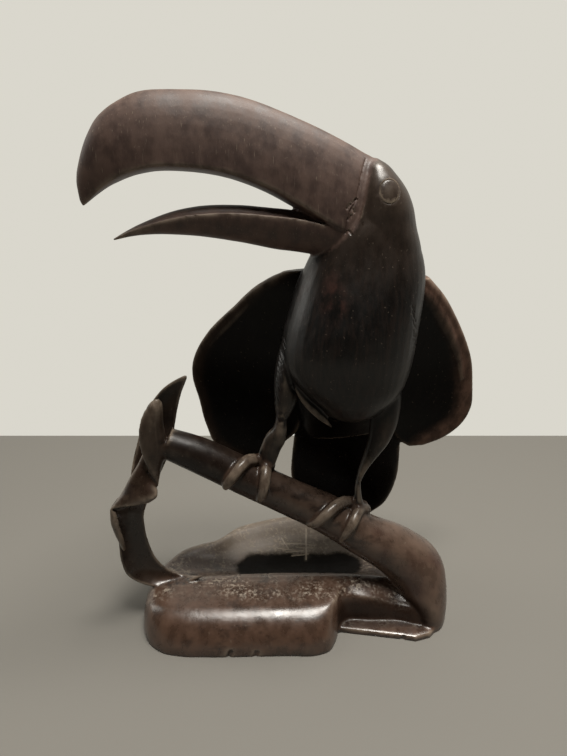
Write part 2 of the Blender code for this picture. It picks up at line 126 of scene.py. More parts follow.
def section(centre, side, up, down, bow=Vector((0, 0, 0)), fullness=1.0):
    """Points round a section: side is its half-width, up and down its half-heights, bow bends it."""
    points = []
    for i in range(SECTION_SIDES):
        angle = 2 * math.pi * i / SECTION_SIDES
        across = math.copysign(abs(math.cos(angle)) ** fullness, math.cos(angle))
        rise = abs(math.sin(angle)) ** fullness
        height = up if math.sin(angle) > 0 else down
        points.append(centre + side * across + height * rise + bow * across * across)
    return points


def loft(mesh, sections):
    """Adds a closed skin through the sections, with a flat cap at each end."""
    rows = [[mesh.verts.new(point) for point in ring] for ring in sections]
    count = len(rows[0])
    faces = [mesh.faces.new(list(reversed(rows[0]))), mesh.faces.new(rows[-1])]
    for near, far in zip(rows, rows[1:]):
        for i in range(count):
            j = (i + 1) % count
            faces.append(mesh.faces.new((near[i], near[j], far[j], far[i])))
    bmesh.ops.recalc_face_normals(mesh, faces=faces)


def directions(points):
    """The direction of travel at each point of a path."""
    return [Vector(way).normalized() for way in np.gradient(np.array(points), axis=0)]


def rod(mesh, rows, sideways=Vector((0, 1, 0))):
    """A rod through rows of x, y, z and its half-thickness across the path and sideways."""
    rows = smooth_through(rows)
    sections = []
    for row, along in zip(rows, directions([row[:3] for row in rows])):
        side = (sideways - along * sideways.dot(along)).normalized()
        rise = along.cross(side)
        sections.append(section(Vector(row[:3]), side * row[4], rise * row[3], rise * -row[3]))
    loft(mesh, sections)


def blade(mesh, rows, thickness, fullness=0.7):
    """A blade through rows of one edge's x, y, z, the other edge's, the thickness's share and its bow."""
    rows = smooth_through(rows)
    middles = [(row[:3] + row[3:6]) / 2 for row in rows]
    sections = []
    for row, middle, along in zip(rows, middles, directions(middles)):
        side = Vector(row[3:6] - row[:3]) / 2
        face = side.cross(along).normalized()
        half = face * (thickness * row[6] / 2)
        bow = face * row[7]
        sections.append(section(Vector(middle) - bow, side, half, -half, bow, fullness))
    scale = Matrix.Scale(SHARE, 4)
    loft(mesh, [[scale @ point for point in ring] for ring in sections])


def object_from(mesh, name):
    data = bpy.data.meshes.new(name)
    mesh.to_mesh(data)
    mesh.free()
    made = bpy.data.objects.new(name, data)
    bpy.context.scene.collection.objects.link(made)
    return made


def form(name, *builders):
    """One form of the carving as an object, for the fusing and for finding its part of the skin."""
    mesh = bmesh.new()
    for build in builders:
        build(mesh)
    made = object_from(mesh, name)
    print(name, "has", len(made.data.vertices), "points")
    return made


# %% [markdown]
# ## Body and head
#
# The body is a smooth pear, fullest at the wings' tips and drawn in at the neck. Its stations climb
# from the belly to the neck, where the head's take over, longer along the bill than across. Both could
# be sculpted from a sphere, but stations keep each width where it can be read and changed.

# %% Body and head
# The body, from the underside of the belly to the neck: x, y, z, then shares of half the body's width
# and depth for the half-width, the front and the back.
BODY = [
    (31, -6, 126.5, 0.10, 0.12, 0.25),
    (31, -4.5, 129.5, 0.32, 0.38, 0.5),
    (31, -2.5, 137, 0.58, 0.66, 0.75),
    (30, -1, 146, 0.80, 0.85, 0.9),
    (28.5, 0, 157, 0.94, 0.95, 0.98),
    (28.5, 0, 167, 0.985, 0.98, 1.0),
    (29.5, 0, 177, 0.985, 0.96, 1.0),
    (33, 0, 196, 0.945, 0.85, 0.95),
    (35.5, 0, 209, 0.89, 0.75, 0.88),
    (37, 0, 221, 0.79, 0.67, 0.78),
    (38, 0, 234, 0.62, 0.62, 0.68),
    (40, 0, 244, 0.45, 0.55, 0.6),
]
# The head, from the neck to the crown: x, y, z, half-length along the bill, then its two cheeks as
# shares of half the head's width.
HEAD = [
    (40, 0, 214, 28, 1.05, 1.15),
    (41, 0, 224, 25.5, 1.02, 1.12),
    (42, 0, 236, 21, 1.0, 1.06),
    (42.5, 0, 246, 18, 1.0, 1.02),
    (42, 0, 254.5, 14.5, 0.93, 0.95),
    (40.5, 0, 262, 10, 0.74, 0.76),
    (39, 0, 267, 6.5, 0.5, 0.5),
    (38, 0, 269.8, 2.5, 0.2, 0.2),
]


def body(mesh):
    half_width, half_depth = BODY_WIDTH / 2, BODY_DEPTH / 2
    for table, width, depth in ((BODY, half_width, half_depth), (HEAD, SHARE, HEAD_WIDTH / 2)):
        sections = []
        for x, y, z, side, front, back in smooth_through(table):
            centre = Vector((x, y, z)) * SHARE
            across, before = Vector((side * width, 0, 0)), Vector((0, -front * depth, 0))
            sections.append(section(centre, across, Vector((0, back * depth, 0)), before))
        loft(mesh, sections)


# %% [markdown]
# ## The open bill
#
# The upper bill is a long hook with a rounded crest and a nearly flat floor, and the lower one is a
# shallow boat with the tongue left standing in it. Both run on the bill's own middle plane, which turns
# a little towards the viewer, so `bill_point` places a station by its distance along the bill and its
# height. The brow is the proud edge of the head where the bill comes out of it.

# %% Bill
# The brow: the head's edge round the bill, then back into the head. Upper x and z, lower x and z,
# half-width as a share of half the bill's width.
BROW = [
    (36.5, 270, 24.5, 226, 1.0),
    (38.5, 270, 26.5, 224, 1.03),
    (42, 267, 30.5, 221, 1.03),
    (47, 260, 36, 219, 0.9),
]
# The upper bill, from inside the head to its tip: a side edge's x and z, the crest's x and z, and its
# half-width as a share of half the bill's width.
UPPER_BILL = [
    (42, 228, 46, 262, 0.85),
    (34, 230, 40, 268.5, 0.98),
    (20, 235.5, 32, 273, 1.0),
    (3, 245, 16, 281, 1.0),
    (-16, 255, -6, 290, 0.99),
    (-38, 262.5, -32, 298, 0.97),
    (-58, 265, -57, 300, 0.93),
    (-77, 264, -84.5, 296, 0.84),
    (-89, 260, -100, 284, 0.68),
    (-97.5, 255, -107, 270, 0.46),
    (-103.5, 250, -110, 258, 0.25),
    (-108, 246, -109.5, 249, 0.08),
]
# The lower bill: its rim's x and z, the keel's x and z, how high the tongue stands over the rim, its
# width's share.
LOWER_BILL = [
    (36, 229, 38, 214, 3, 0.9),
    (20, 234.5, 18, 218.5, 4, 0.93),
    (1, 239.5, 2, 222, 4, 0.92),
    (-15, 241.5, -12, 224, 4, 0.88),
    (-35, 243, -32, 228, 4, 0.82),
    (-55, 242, -53, 231, 3.6, 0.7),
    (-74, 238, -74, 232, 2.4, 0.48),
    (-87, 233.5, -86, 231, 1, 0.25),
    (-95, 229.8, -95, 229, 0.3, 0.07),
]
TONGUE_WIDTH = 0.78  # of the lower bill's


def bill_point(x, z):
    """A point on the bill's own middle plane, which turns forward from the head."""
    reach = (x - BILL_ROOT) * SHARE
    return Vector((x * SHARE, reach * math.tan(BILL_TURN), z * SHARE))


BILL_SIDE = Vector((-math.sin(BILL_TURN), math.cos(BILL_TURN), 0)) * (BILL_WIDTH / 2)


def bill(mesh):
    upper = []
    for x, z, crest_x, crest_z, width in smooth_through(UPPER_BILL):
        edge, crest = bill_point(x, z), bill_point(crest_x, crest_z)
        floor = (edge - crest).normalized() * (BILL_FLOOR * width)
        upper.append(section(edge, BILL_SIDE * width, crest - edge, floor, fullness=0.86))
    loft(mesh, upper)
    lower = []
    for x, z, keel_x, keel_z, tongue, width in smooth_through(LOWER_BILL):
        rim, keel = bill_point(x, z), bill_point(keel_x, keel_z)
        ring = section(rim, BILL_SIDE * width, (rim - keel) * 0.001, keel - rim, fullness=0.95)
        half = SECTION_SIDES // 2
        for i in range(half + 1):
            across = math.cos(math.pi * i / half)
            dome = math.sqrt(max(0.0, 1 - (across / TONGUE_WIDTH) ** 2))
            ring[i] = rim + BILL_SIDE * width * across + (rim - keel).normalized() * (tongue * SHARE * dome)
        lower.append(ring)
    loft(mesh, lower)


def brow(mesh):
    rings = []
    for x, z, low_x, low_z, width in smooth_through(BROW):
        crest, throat = bill_point(x, z), bill_point(low_x, low_z)
        middle = throat + (crest - throat) * 0.2
        across = BILL_SIDE * width * (1 + 2 * BROW_STEP / BILL_WIDTH)
        rings.append(section(middle, across, crest - middle, throat - middle, fullness=0.86))
    loft(mesh, rings)


# %% [markdown]
# ## Wings, rump and tail
#
# The wings are thin shells that hang open from the shoulders, and the tail is a short board under the
# branch. A blade has two edges at each station and a bow between them, which is how a carver marks out
# such a shell before hollowing it.

# %% Wings, rump and tail
# Wings and tail: one edge's x, y, z, the other edge's, the thickness's share and how far it bows.
LEFT_WING = [
    (54, 5, 210, 74, 8, 208, 1.6, 0),
    (48, 4, 199, 84.5, 13, 197, 1.7, -1),
    (43, 5, 181, 97, 20, 179, 1.5, -3),
    (42, 8, 160, 107.5, 25, 158, 1.2, -4.5),
    (46, 13, 140, 112, 29, 139, 1.05, -5),
    (55, 20, 120, 113, 32, 119, 0.95, -4),
    (61, 26, 107, 107, 33.5, 107, 0.9, -3),
    (67, 30, 99, 97, 34, 99, 0.8, -1.5),
    (74, 32, 94, 86, 34.5, 94, 0.55, -0.5),
]
RIGHT_WING = [
    (12, 6, 213, -8, 9, 211, 1.5, 0),
    (12, 5, 205, -22, 12, 203.5, 1.7, 1),
    (10, 5, 192, -37, 17, 190, 1.5, 2.5),
    (8, 7, 176, -53, 22, 174, 1.25, 4),
    (6, 9, 160, -63, 25, 158, 1.1, 5),
    (5, 13, 144, -65.5, 28, 143, 1.0, 5),
    (4.5, 19, 127, -62, 31, 125, 0.95, 4),
    (3.5, 23, 116, -60.5, 32, 115, 0.95, 3.5),
    (1, 26, 107, -58, 33, 105.5, 0.9, 3),
    (-6, 28.5, 99, -55.5, 34, 97.5, 0.85, 1.8),
    (-15, 31, 91, -50, 34.5, 91, 0.75, 1),
    (-24, 33, 84, -40, 35, 85, 0.5, 0.3),
]
TAIL = [
    (4, 22, 138, 52, 22, 138, 1.6, 0),
    (0, 26, 120, 62, 26, 120, 1.4, 0),
    (-1, 30, 104, 68, 30, 104, 1.1, -1),
    (-2.5, 33, 87, 69.5, 33, 87, 1.0, -2),
    (-3, 35, 71, 69.3, 35, 71, 1.0, -2),
    (0, 36.5, 58, 66.5, 36.5, 58, 0.95, -1.5),
    (6, 37.5, 48.5, 62, 37.5, 48.5, 0.85, -1),
    (17, 38, 41.5, 53, 38, 40.5, 0.6, 0),
]
# The rolled upper edges of the wings: x, y, z and two half-thicknesses.
LEFT_SHOULDER = [
    (62, 6.5, 202.5, 8, 8.5),
    (70, 9, 198, 7.6, 7.4),
    (78.5, 13, 189.5, 6.8, 6.4),
    (88.5, 18, 175.5, 5.4, 5),
    (98, 23, 158, 3.8, 3.8),
    (103.5, 26.5, 142, 2.6, 2.6),
]
RIGHT_SHOULDER = [
    (5, 6.5, 205.5, 6, 6.5),
    (-8.5, 9.5, 204.5, 5.6, 5.8),
    (-20.5, 12.5, 198, 5.0, 5.2),
    (-34.5, 17, 184.5, 4.3, 4.4),
    (-49, 22, 169, 3.5, 3.5),
    (-58.5, 25, 155.5, 2.6, 2.6),
]
# The rump between the back and the tail: x, y, z, half-depth and half-width.
RUMP = [
    (29, 8, 176, 20, 26),
    (28, 12, 156, 19, 28),
    (29, 18, 136, 15, 28.5),
    (31, 24, 119, 10.5, 28),
    (33, 28.5, 105, 6, 26),
]


def wings_and_tail(mesh):
    for wing in (LEFT_WING, RIGHT_WING):
        blade(mesh, wing, WING_THICKNESS / SHARE)
    blade(mesh, TAIL, TAIL_THICKNESS / SHARE)
    for shoulder in (LEFT_SHOULDER, RIGHT_SHOULDER):
        rod(mesh, to_metres(shoulder))
    rod(mesh, to_metres(RUMP), sideways=Vector((1, 0, 0)))


# %% [markdown]
# ## Branch and legs
#
# The branch tapers from its root on the base up to the leaf. Each leg is a rod too: one is short, with
# a rough cuff, and the other is a broad thigh that narrows like a cone.

# %% Branch and legs
# The branch from its root to the leaf: x, y, z, half-thickness across and sideways as shares of half its
# diameter.
BRANCH = [
    (81, -8, -4, 1.15, 2.3),
    (81, -8, 12, 1.22, 2.15),
    (75.5, -8, 28, 1.5, 1.7),
    (61, -8, 41, 1.42, 1.35),
    (42, -9, 52, 1.2, 1.17),
    (17, -9, 67.5, 1.07, 1.05),
    (-5, -9, 78.5, 1.0, 1.0),
    (-33, -10, 93.5, 0.98, 1.0),
    (-59, -11, 107.5, 0.94, 0.96),
    (-76, -12, 115, 0.8, 0.85),
]
# Legs: x, y, z, half-thickness along the branch and across it.
RIGHT_LEG = [
    (-3.5, 2, 172, 5.5, 9),
    (-5.5, 0, 160, 6.6, 10),
    (-6.6, -2, 150, 7.0, 10),
    (-6.4, -3.5, 142, 7.2, 9.5),
    (-7.6, -5, 134.5, 5.8, 7.5),
    (-9.2, -6.5, 127, 3.7, 5),
    (-10.2, -7.5, 121.3, 4.4, 5),
    (-12.4, -8, 116.3, 6.0, 5),
    (-14.8, -8.5, 111.5, 5.9, 4.6),
    (-16.6, -9, 107, 5.9, 4.4),
    (-18.6, -10, 100, 5.4, 4.4),
]
LEFT_LEG = [
    (47, 3, 160, 13.5, 16),
    (50.5, 1, 147, 10.5, 13.5),
    (51.5, -2, 135, 9, 10.5),
    (50.3, -4.5, 123.5, 8, 8),
    (48, -6, 115, 6.4, 6.4),
    (43.8, -7, 106, 4.2, 5),
    (40, -8, 98.5, 2.7, 4.2),
    (36.8, -9, 89.5, 1.9, 3.8),
    (36.8, -9, 79.5, 2.3, 3.9),
    (37.5, -9.5, 72, 3.4, 4.5),
    (37.8, -10, 64, 4.6, 5),
]
# The pointed flap where the thigh leaves the belly: x, y, z and two half-thicknesses.
TUFT = [
    (-2.5, -11, 154, 1.6, 1.6),
    (3.6, -13.5, 143, 2.8, 2.6),
    (12, -14.5, 133.5, 2.6, 2.4),
    (19.8, -13, 124.8, 0.6, 0.6),
]


def branch_rows():
    half = BRANCH_DIAMETER / 2
    rows = []
    for x, y, z, across, sideways in BRANCH:
        rows.append((x * SHARE, y * SHARE, z * SHARE, across * half, sideways * half))
    return rows


# The flat cut on the root's right side: a place on it and the way that it faces.
SIDE_PLACE = (92, -4, 32)
SIDE_WAY = (0.93, 0.28, 0.24)


def cut_side(mesh):
    """Presses what stands past the root's flat side onto it."""
    place, way = Vector(SIDE_PLACE) * SHARE, Vector(SIDE_WAY).normalized()
    for vertex in mesh.verts:
        past = (vertex.co - place).dot(way)
        if past > 0:
            vertex.co -= way * past


def branch(mesh):
    rod(mesh, branch_rows())
    cut_side(mesh)


def legs(mesh):
    for leg in (RIGHT_LEG, LEFT_LEG):
        rod(mesh, to_metres(leg))


def tuft(mesh):
    rod(mesh, to_metres(TUFT))


# %% [markdown]
# ## Toes, as Geometry Nodes
#
# Eight toes wrap round the branch, and all are the same thing: a round rod whose thickness changes
# along its path. That repeats and follows a path, so it is a job for Geometry Nodes. Each toe is a
# spline laid over the branch's skin, with its half-thickness as the points' radius, and the tree sweeps
# a circle along it. The helpers come first, because every tree and material of this file is built with
# them: `put` adds a node and feeds it, `new_tree` gives a tree its named inputs, and the `close`
# helpers end the trees that rework the skin.

# %% Node helpers


def put(tree, kind, feed=(), **settings):
    """Adds a node. feed gives inputs by name or number, as a socket to link or a value to set."""
    made = tree.nodes.new(kind)
    for name, value in settings.items():
        setattr(made, name, value)
    for key, value in dict(feed).items():
        if isinstance(value, bpy.types.NodeSocket):
            tree.links.new(value, made.inputs[key])
        else:
            made.inputs[key].default_value = value
    return made


def new_tree(name, **inputs):
    """A geometry tree with named inputs: each is a socket type's short name and its usual value."""
    tree = bpy.data.node_groups.new(name, "GeometryNodeTree")
    tree.interface.new_socket("Geometry", in_out="INPUT", socket_type="NodeSocketGeometry")
    for title, (kind, value) in inputs.items():
        socket = tree.interface.new_socket(title, in_out="INPUT", socket_type="NodeSocket" + kind)
        if value is not None:
            socket.default_value = value
    tree.interface.new_socket("Geometry", in_out="OUTPUT", socket_type="NodeSocketGeometry")
    return tree, put(tree, "NodeGroupInput").outputs


def use_tree(obj, tree, **values):
    """Puts a tree on an object and sets the tree's inputs by their identifiers."""
    modifier = obj.modifiers.new(tree.name, "NODES")
    modifier.node_group = tree
    for item in tree.interface.items_tree:
        if item.in_out == "INPUT" and item.name in values:
            modifier[item.identifier] = values[item.name]


def calc(tree, operation, first, second):
    """One sum on two numbers."""
    return put(tree, "ShaderNodeMath", {0: first, 1: second}, operation=operation).outputs[0]


def ramp(tree, value, low, high, out_low=0.0, out_high=1.0):
    """A value eased from one range into another."""
    feed = {"Value": value, "From Min": low, "From Max": high, "To Min": out_low, "To Max": out_high}
    return put(tree, "ShaderNodeMapRange", feed, interpolation_type="SMOOTHSTEP").outputs[0]


def close_tree(tree, geometry):
    """Hands what a node makes to the tree's output, as real geometry."""
    real = put(tree, "GeometryNodeRealizeInstances", {"Geometry": geometry.outputs[0]})
    put(tree, "NodeGroupOutput", {"Geometry": real.outputs[0]})
    return tree


def close_moved(tree, given, distance):
    """Ends a tree by moving the skin along its normals."""
    normal = put(tree, "GeometryNodeInputNormal")
    push = put(tree, "ShaderNodeVectorMath", {0: normal.outputs[0], "Scale": distance}, operation="SCALE")
    feed = {"Geometry": given["Geometry"], "Offset": push.outputs[0]}
    return close_tree(tree, put(tree, "GeometryNodeSetPosition", feed))


def close_marked(tree, given, name, value):
    """Ends a tree by storing a value at every point of the skin."""
    feed = {"Geometry": given["Geometry"], "Name": name, "Value": value}
    return close_tree(tree, put(tree, "GeometryNodeStoreNamedAttribute", feed))


def settle(obj):
    """Makes what the object's modifiers give its own plain mesh."""
    bpy.context.view_layer.update()
    depsgraph = bpy.context.evaluated_depsgraph_get()
    made = bpy.data.meshes.new_from_object(
        obj.evaluated_get(depsgraph), preserve_all_data_layers=True, depsgraph=depsgraph
    )
    name = obj.name
    settled = bpy.data.objects.new(name + "_settled", made)
    bpy.context.scene.collection.objects.link(settled)
    bpy.data.objects.remove(obj)
    settled.name = name
    return settled


# %% Toes along their paths
# Toes grip the branch: x along it, then the angle round it from level front, in degrees. Two of each
# foot cross the front and two go over the back.
TOES = [
    [(-26, 108), (-30, 90), (-34.5, 70), (-37, 40), (-38.3, 8), (-38.6, -20), (-38, -45)],
    [(-25.5, 105), (-24.3, 78), (-23.2, 50), (-21.6, 22), (-20.3, -3), (-20, -30)],
    [(-24, 95), (-27, 116), (-31, 142), (-34, 168)],
    [(-22, 95), (-22, 116), (-22.5, 142), (-23, 165)],
    [(34, 108), (28, 98), (21.5, 78), (17.5, 52), (14.3, 20), (11.5, -14), (9, -36)],
    [(34, 100), (30.5, 84), (29, 62), (28.5, 34), (28.3, 5), (29, -28)],
    [(33, 95), (30, 116), (27, 142), (24, 168)],
    [(34.5, 95), (35, 116), (35.5, 142), (35, 165)],
]
TOE_SHARES = (1.15, 1.05, 1.0, 0.95, 0.9, 0.75, 0.4)  # of half the toe's diameter, from the ankle to the claw


def on_branch(x, angle, above):
    """A point so far above the branch's skin: at x along it and an angle round it from level front."""
    rows = np.array(smooth_through(branch_rows()))
    ways = np.array(directions(rows[:, :3]))
    order = np.argsort(rows[:, 0])
    row = np.array([np.interp(x * SHARE, rows[order, 0], rows[order, i]) for i in range(5)])
    along = Vector([np.interp(x * SHARE, rows[order, 0], ways[order, i]) for i in range(3)]).normalized()
    front = Vector((0, -1, 0))
    rise = along.cross(front)
    if rise.z < 0:
        rise = -rise
    turn = math.radians(angle)
    out = front * (math.cos(turn) * (row[4] + above)) + rise * (math.sin(turn) * (row[3] + above))
    return Vector(row[:3]) + out


def toe_paths():
    """All toes as splines of one curve, with their half-thickness as radius."""
    curve = bpy.data.curves.new("toe_paths", "CURVE")
    curve.dimensions = "3D"
    for toe in TOES:
        rows = []
        for (x, angle), share in zip(toe, TOE_SHARES[-len(toe) :]):
            half = share * TOE_DIAMETER / 2
            rows.append((*on_branch(x, angle, half * 0.4), half))
        rows = smooth_through(rows)
        spline = curve.splines.new("POLY")
        spline.points.add(len(rows) - 1)
        for point, row in zip(spline.points, rows):
            point.co = (*row[:3], 1)
            point.radius = row[3]
    made = bpy.data.objects.new("toes", curve)
    bpy.context.scene.collection.objects.link(made)
    return made


def rod_tree():
    """Sweeps a circle along splines, as thick as their radius."""
    inputs = {"Sides": ("Int", 24), "Spacing": ("Float", 0.0006), "Wood": ("Material", None)}
    tree, given = new_tree("rod_along_its_path", **inputs)
    feed = {"Curve": given["Geometry"], "Length": given["Spacing"]}
    path = put(tree, "GeometryNodeResampleCurve", feed, mode="LENGTH").outputs[0]
    feed = {"Resolution": given["Sides"], "Radius": 1.0}
    ring = put(tree, "GeometryNodeCurvePrimitiveCircle", feed).outputs[0]
    radius = put(tree, "GeometryNodeInputRadius").outputs[0]
    feed = {"Curve": path, "Profile Curve": ring, "Scale": radius, "Fill Caps": True}
    skin = put(tree, "GeometryNodeCurveToMesh", feed)
    real = put(tree, "GeometryNodeRealizeInstances", {"Geometry": skin.outputs[0]})
    painted = put(tree, "GeometryNodeSetMaterial", {"Geometry": real.outputs[0], "Material": given["Wood"]})
    put(tree, "NodeGroupOutput", {"Geometry": painted.outputs[0]})
    return tree


# %% [markdown]
# ## The curled leaf
#
# The branch ends in a leaf that wraps itself and falls to the base as a twisted ribbon. Four blades make
# it: a lobe behind, a lobe in front, a flap that folds out to the left, and the ribbon. They overlap, so
# the fusing turns them into one sheet with real folds.

# %% Leaf
# The leaf curled round the branch's end, in four strips that run into one another: one edge's x, y, z,
# the other edge's, the thickness's share and how far it bows.
BACK_LOBE = [
    (-98, -17, 90, -83, -12, 90, 0.7, 0),
    (-97, -11, 101, -79, -8, 98, 0.8, 1.5),
    (-94, -9, 112.5, -76, -5, 105, 0.9, 2.5),
    (-91, -8, 122.5, -73.5, -4, 115, 0.9, 3),
    (-86.5, -8, 133, -71.3, -4, 124.5, 0.9, 3),
    (-81, -8, 142, -69.2, -5, 134, 0.85, 2.5),
    (-74.5, -8, 148.5, -66.6, -6, 143, 0.75, 1.5),
    (-67.6, -8, 152.6, -64, -7, 149.4, 0.65, 0.5),
    (-63.6, -8, 154.6, -62.4, -8, 153.4, 0.5, 0),
]
FRONT_LOBE = [
    (-81.5, -22, 92, -80.8, -21, 91.5, 0.6, 0),
    (-82.6, -23, 96.5, -80.6, -19.5, 95, 0.8, -0.5),
    (-84.4, -24, 103.7, -79, -17, 102, 0.9, -1.5),
    (-87, -24.5, 113, -75.8, -15, 110, 0.9, -3),
    (-88.4, -24, 124, -75.2, -15, 121, 0.85, -4),
    (-87.2, -23, 132, -75.8, -16, 129, 0.8, -4),
    (-84.4, -22, 138.5, -75.4, -17, 137, 0.75, -3),
    (-80.8, -21, 143, -75.6, -18, 142.4, 0.7, -1),
    (-78.2, -20.5, 144.4, -76.6, -19.5, 144.2, 0.5, 0),
]
FLAP = [
    (-89, -13, 109, -86, -15, 109, 0.8, 0),
    (-92, -16, 103.5, -84.5, -18.5, 102.5, 1.0, 0.5),
    (-96.5, -19, 96.5, -81.5, -22.5, 94.5, 1.05, 1),
    (-100.8, -22.5, 88.5, -79.5, -25, 90, 1.05, 1.5),
    (-104.6, -25, 83.5, -80.5, -27, 87, 0.95, 1.5),
    (-107.2, -26.5, 80, -84.5, -27.5, 84.3, 0.8, 1),
]
RIBBON = [
    (-104, -22, 85, -83.5, -23.5, 88, 0.9, 0),
    (-107.6, -25, 79.5, -86, -23.5, 83.5, 1.0, -1.5),
    (-108, -25, 72, -90, -18.5, 72.5, 0.9, -4),
    (-106.2, -24, 64.5, -91, -16, 64, 0.9, -4.5),
    (-105.6, -22.5, 54, -90.3, -14.5, 53, 0.9, -4),
    (-105.4, -22, 42, -87, -13, 40, 0.95, -3.5),
    (-102.8, -21, 31.5, -81.5, -12, 31.5, 1.0, -3),
    (-94, -19.5, 24, -72, -12, 26.5, 1.0, -2),
    (-79, -19, 21.5, -65, -13, 25.5, 0.9, -1),
    (-67, -18, 23.5, -60.5, -15, 27, 0.7, 0),
    (-58.5, -16.5, 27, -57, -16, 28.2, 0.5, 0),
]
# The ribbon's left edge, turned over towards the front.
MARGIN = [
    (-107.6, -25.5, 80, -103.8, -27, 79, 0.7, 0),
    (-107.3, -26, 72.6, -102.6, -28.5, 70, 0.75, 0.5),
    (-106, -25, 65.9, -101.8, -27.5, 62.7, 0.75, 0.5),
    (-104.5, -24, 58, -101.4, -25.5, 55.5, 0.7, 0),
    (-103, -22.5, 51, -102, -23, 50, 0.5, 0),
]


def leaf(mesh):
    for strip in (BACK_LOBE, FRONT_LOBE, FLAP, RIBBON, MARGIN):
        blade(mesh, strip, LEAF_THICKNESS / SHARE, fullness=0.6)


# %% [markdown]
# ## The base
#
# The base is a profile that changes along its length: a thick roll in front like a log, a hollow behind
# it, and a ridge at the back. It stops short at the front right, where a notch shows the roll's end and
# leaves a low ledge.

# %% Base
# The base from its left end: x, the front, then y and z of the roll, of its lip, of the hollow and of
# the back ridge, and the back.
BASE = [
    (-94.5, -20, -15, 8, -12, 8, -9, 8, -6, 8, 0),
    (-91.5, -33, -23, 16, -14, 17, -6, 16, 1, 15.5, 10),
    (-86, -43, -29, 20.5, -15, 22, -3, 19.5, 9, 18.5, 18),
    (-78, -49, -31, 22.3, -13, 23, 2, 18, 18, 20.5, 29),
    (-66, -52, -32, 22.8, -11, 23, 6, 15, 25, 21.5, 36),
    (-53, -52.5, -32, 22.8, -9, 22.8, 10, 12.5, 31, 22.5, 41),
    (-43, -52.5, -32, 22.8, -8, 22.8, 12, 11.5, 41, 23.5, 54),
    (-25, -52, -32, 22.8, -7, 22.8, 14, 10.5, 49, 25.5, 61),
    (-5, -51.5, -32, 22.8, -6, 22.8, 15, 10.5, 53, 27.5, 64),
    (12, -51, -31, 23, -6, 22.8, 15, 11, 53, 28, 64),
    (18, -48.5, -30, 23, -6, 22.8, 14, 11, 53, 28, 64),
    (23, -40, -27, 23, -6, 22.8, 14, 11.5, 52, 28, 63.5),
    (26.5, -30, -23, 22.5, -7, 23, 14, 12, 52, 28, 63),
    (29.5, -27, -22, 21, -7, 23, 14, 12.5, 51, 28, 62.5),
    (45, -26.5, -21, 18.5, -8, 22.5, 14, 14, 46, 28, 58),
    (62, -27, -21, 13.5, -9, 21.5, 10, 19, 36, 27, 48),
    (76, -31, -22, 14, -9, 24, 5, 26, 22, 25, 36),
    (87, -27, -16, 17, -9, 22, 0, 24, 8, 20, 20),
    (93.5, -15, -11, 12, -9, 12.5, -7, 13, -4, 12, 2),
]
# The ledge in the notch: x and its front edge.
LEDGE = [(18, -32), (30, -33.5), (48, -36.5), (60, -38.5), (70, -40.5), (79, -37.5), (88, -28)]
ROLL_TURNS = [math.radians(turn) for turn in (30, 50, 70, 90)]  # places on the roll's round front
SKIRT = 0.006  # wood that runs on below the table, before the flat cut


def base(mesh):
    sections = []
    for row in smooth_through(BASE):
        x, front, roll_y, roll_z, lip_y, lip_z, hollow_y, hollow_z, ridge_y, ridge_z, back = row
        below = -SKIRT / SHARE
        outline = [(0, front, below), (0, front, roll_z * 0.2)]
        for turn in ROLL_TURNS:
            outline.append((0, roll_y - (roll_y - front) * math.cos(turn), roll_z * math.sin(turn)))
        outline += [
            (0, lip_y, lip_z),
            (0, lip_y + (hollow_y - lip_y) * 0.3, hollow_z + (lip_z - hollow_z) * 0.5),
            (0, hollow_y, hollow_z),
            (0, hollow_y + (ridge_y - hollow_y) * 0.6, hollow_z + (ridge_z - hollow_z) * 0.35),
            (0, ridge_y, ridge_z),
            (0, back - (back - ridge_y) * 0.2, ridge_z * 0.75),
            (0, back, ridge_z * 0.3),
            (0, back - 1, below),
        ]
        curve = smooth_through(outline, steps=4)
        sections.append([Vector((x * SHARE, y * SHARE, z * SHARE)) for nothing, y, z in curve])
    loft(mesh, sections)
    ledge = []
    for x, front in LEDGE:
        centre = Vector((x, front / 2, 0)) * SHARE
        top, bottom = Vector((0, 0, LEDGE_HEIGHT)), Vector((0, 0, -SKIRT))
        ledge.append(section(centre, Vector((0, -front / 2 * SHARE, 0)), top, bottom, fullness=0.25))
    loft(mesh, ledge)
    cut_side(mesh)


# %% [markdown]
# ## From forms to one block
#
# The forms overlap, and a Boolean union would leave a hard crease at every join. Voxel remeshing wraps
# all of them in one even skin instead, and a few rounds of smoothing ease the joins as scraping does on
# wood. The forms stay for a while, because they tell later which part of the skin is bill, branch, leaf
# or base.

# %% Fusing
FUSE_CELL = 0.0007
EASE_ROUNDS = 3

forms = {
    "bill": form("bill_form", bill),
    "body": form("body_form", body, brow, tuft),
    "feathers": form("feathers_form", wings_and_tail),
    "branch": form("branch_form", branch),
    "legs": form("legs_form", legs),
    "leaf": form("leaf_form", leaf),
    "base": form("base_form", base),
}
toes = toe_paths()
use_tree(toes, rod_tree())
forms["toes"] = settle(toes)
print("the toes have", len(forms["toes"].data.vertices), "points")


def fused(name):
    """One skin round all forms, with its joins eased."""
    mesh = bmesh.new()
    for part in forms.values():
        mesh.from_mesh(part.data)
    block = object_from(mesh, name)
    fuse = block.modifiers.new("fuse", "REMESH")
    fuse.mode = "VOXEL"
    fuse.voxel_size = FUSE_CELL
    ease = block.modifiers.new("ease", "SMOOTH")
    ease.factor = 0.5
    ease.iterations = EASE_ROUNDS
    return settle(block)


toucan = fused("carved_toucan")
print("the fused block has", len(toucan.data.vertices), "points")

# %% [markdown]
# ## Fine cuts
#
# The carver cut a ring for each eye and ran a knife along the head's edge, and the years added nicks
# and scratches. Each is a narrow path, aimed at the wood from outside, that lands where rays meet the
# skin. The skin is split finer near the paths only, and a Geometry Nodes tree then presses it in by its
# distance to them.

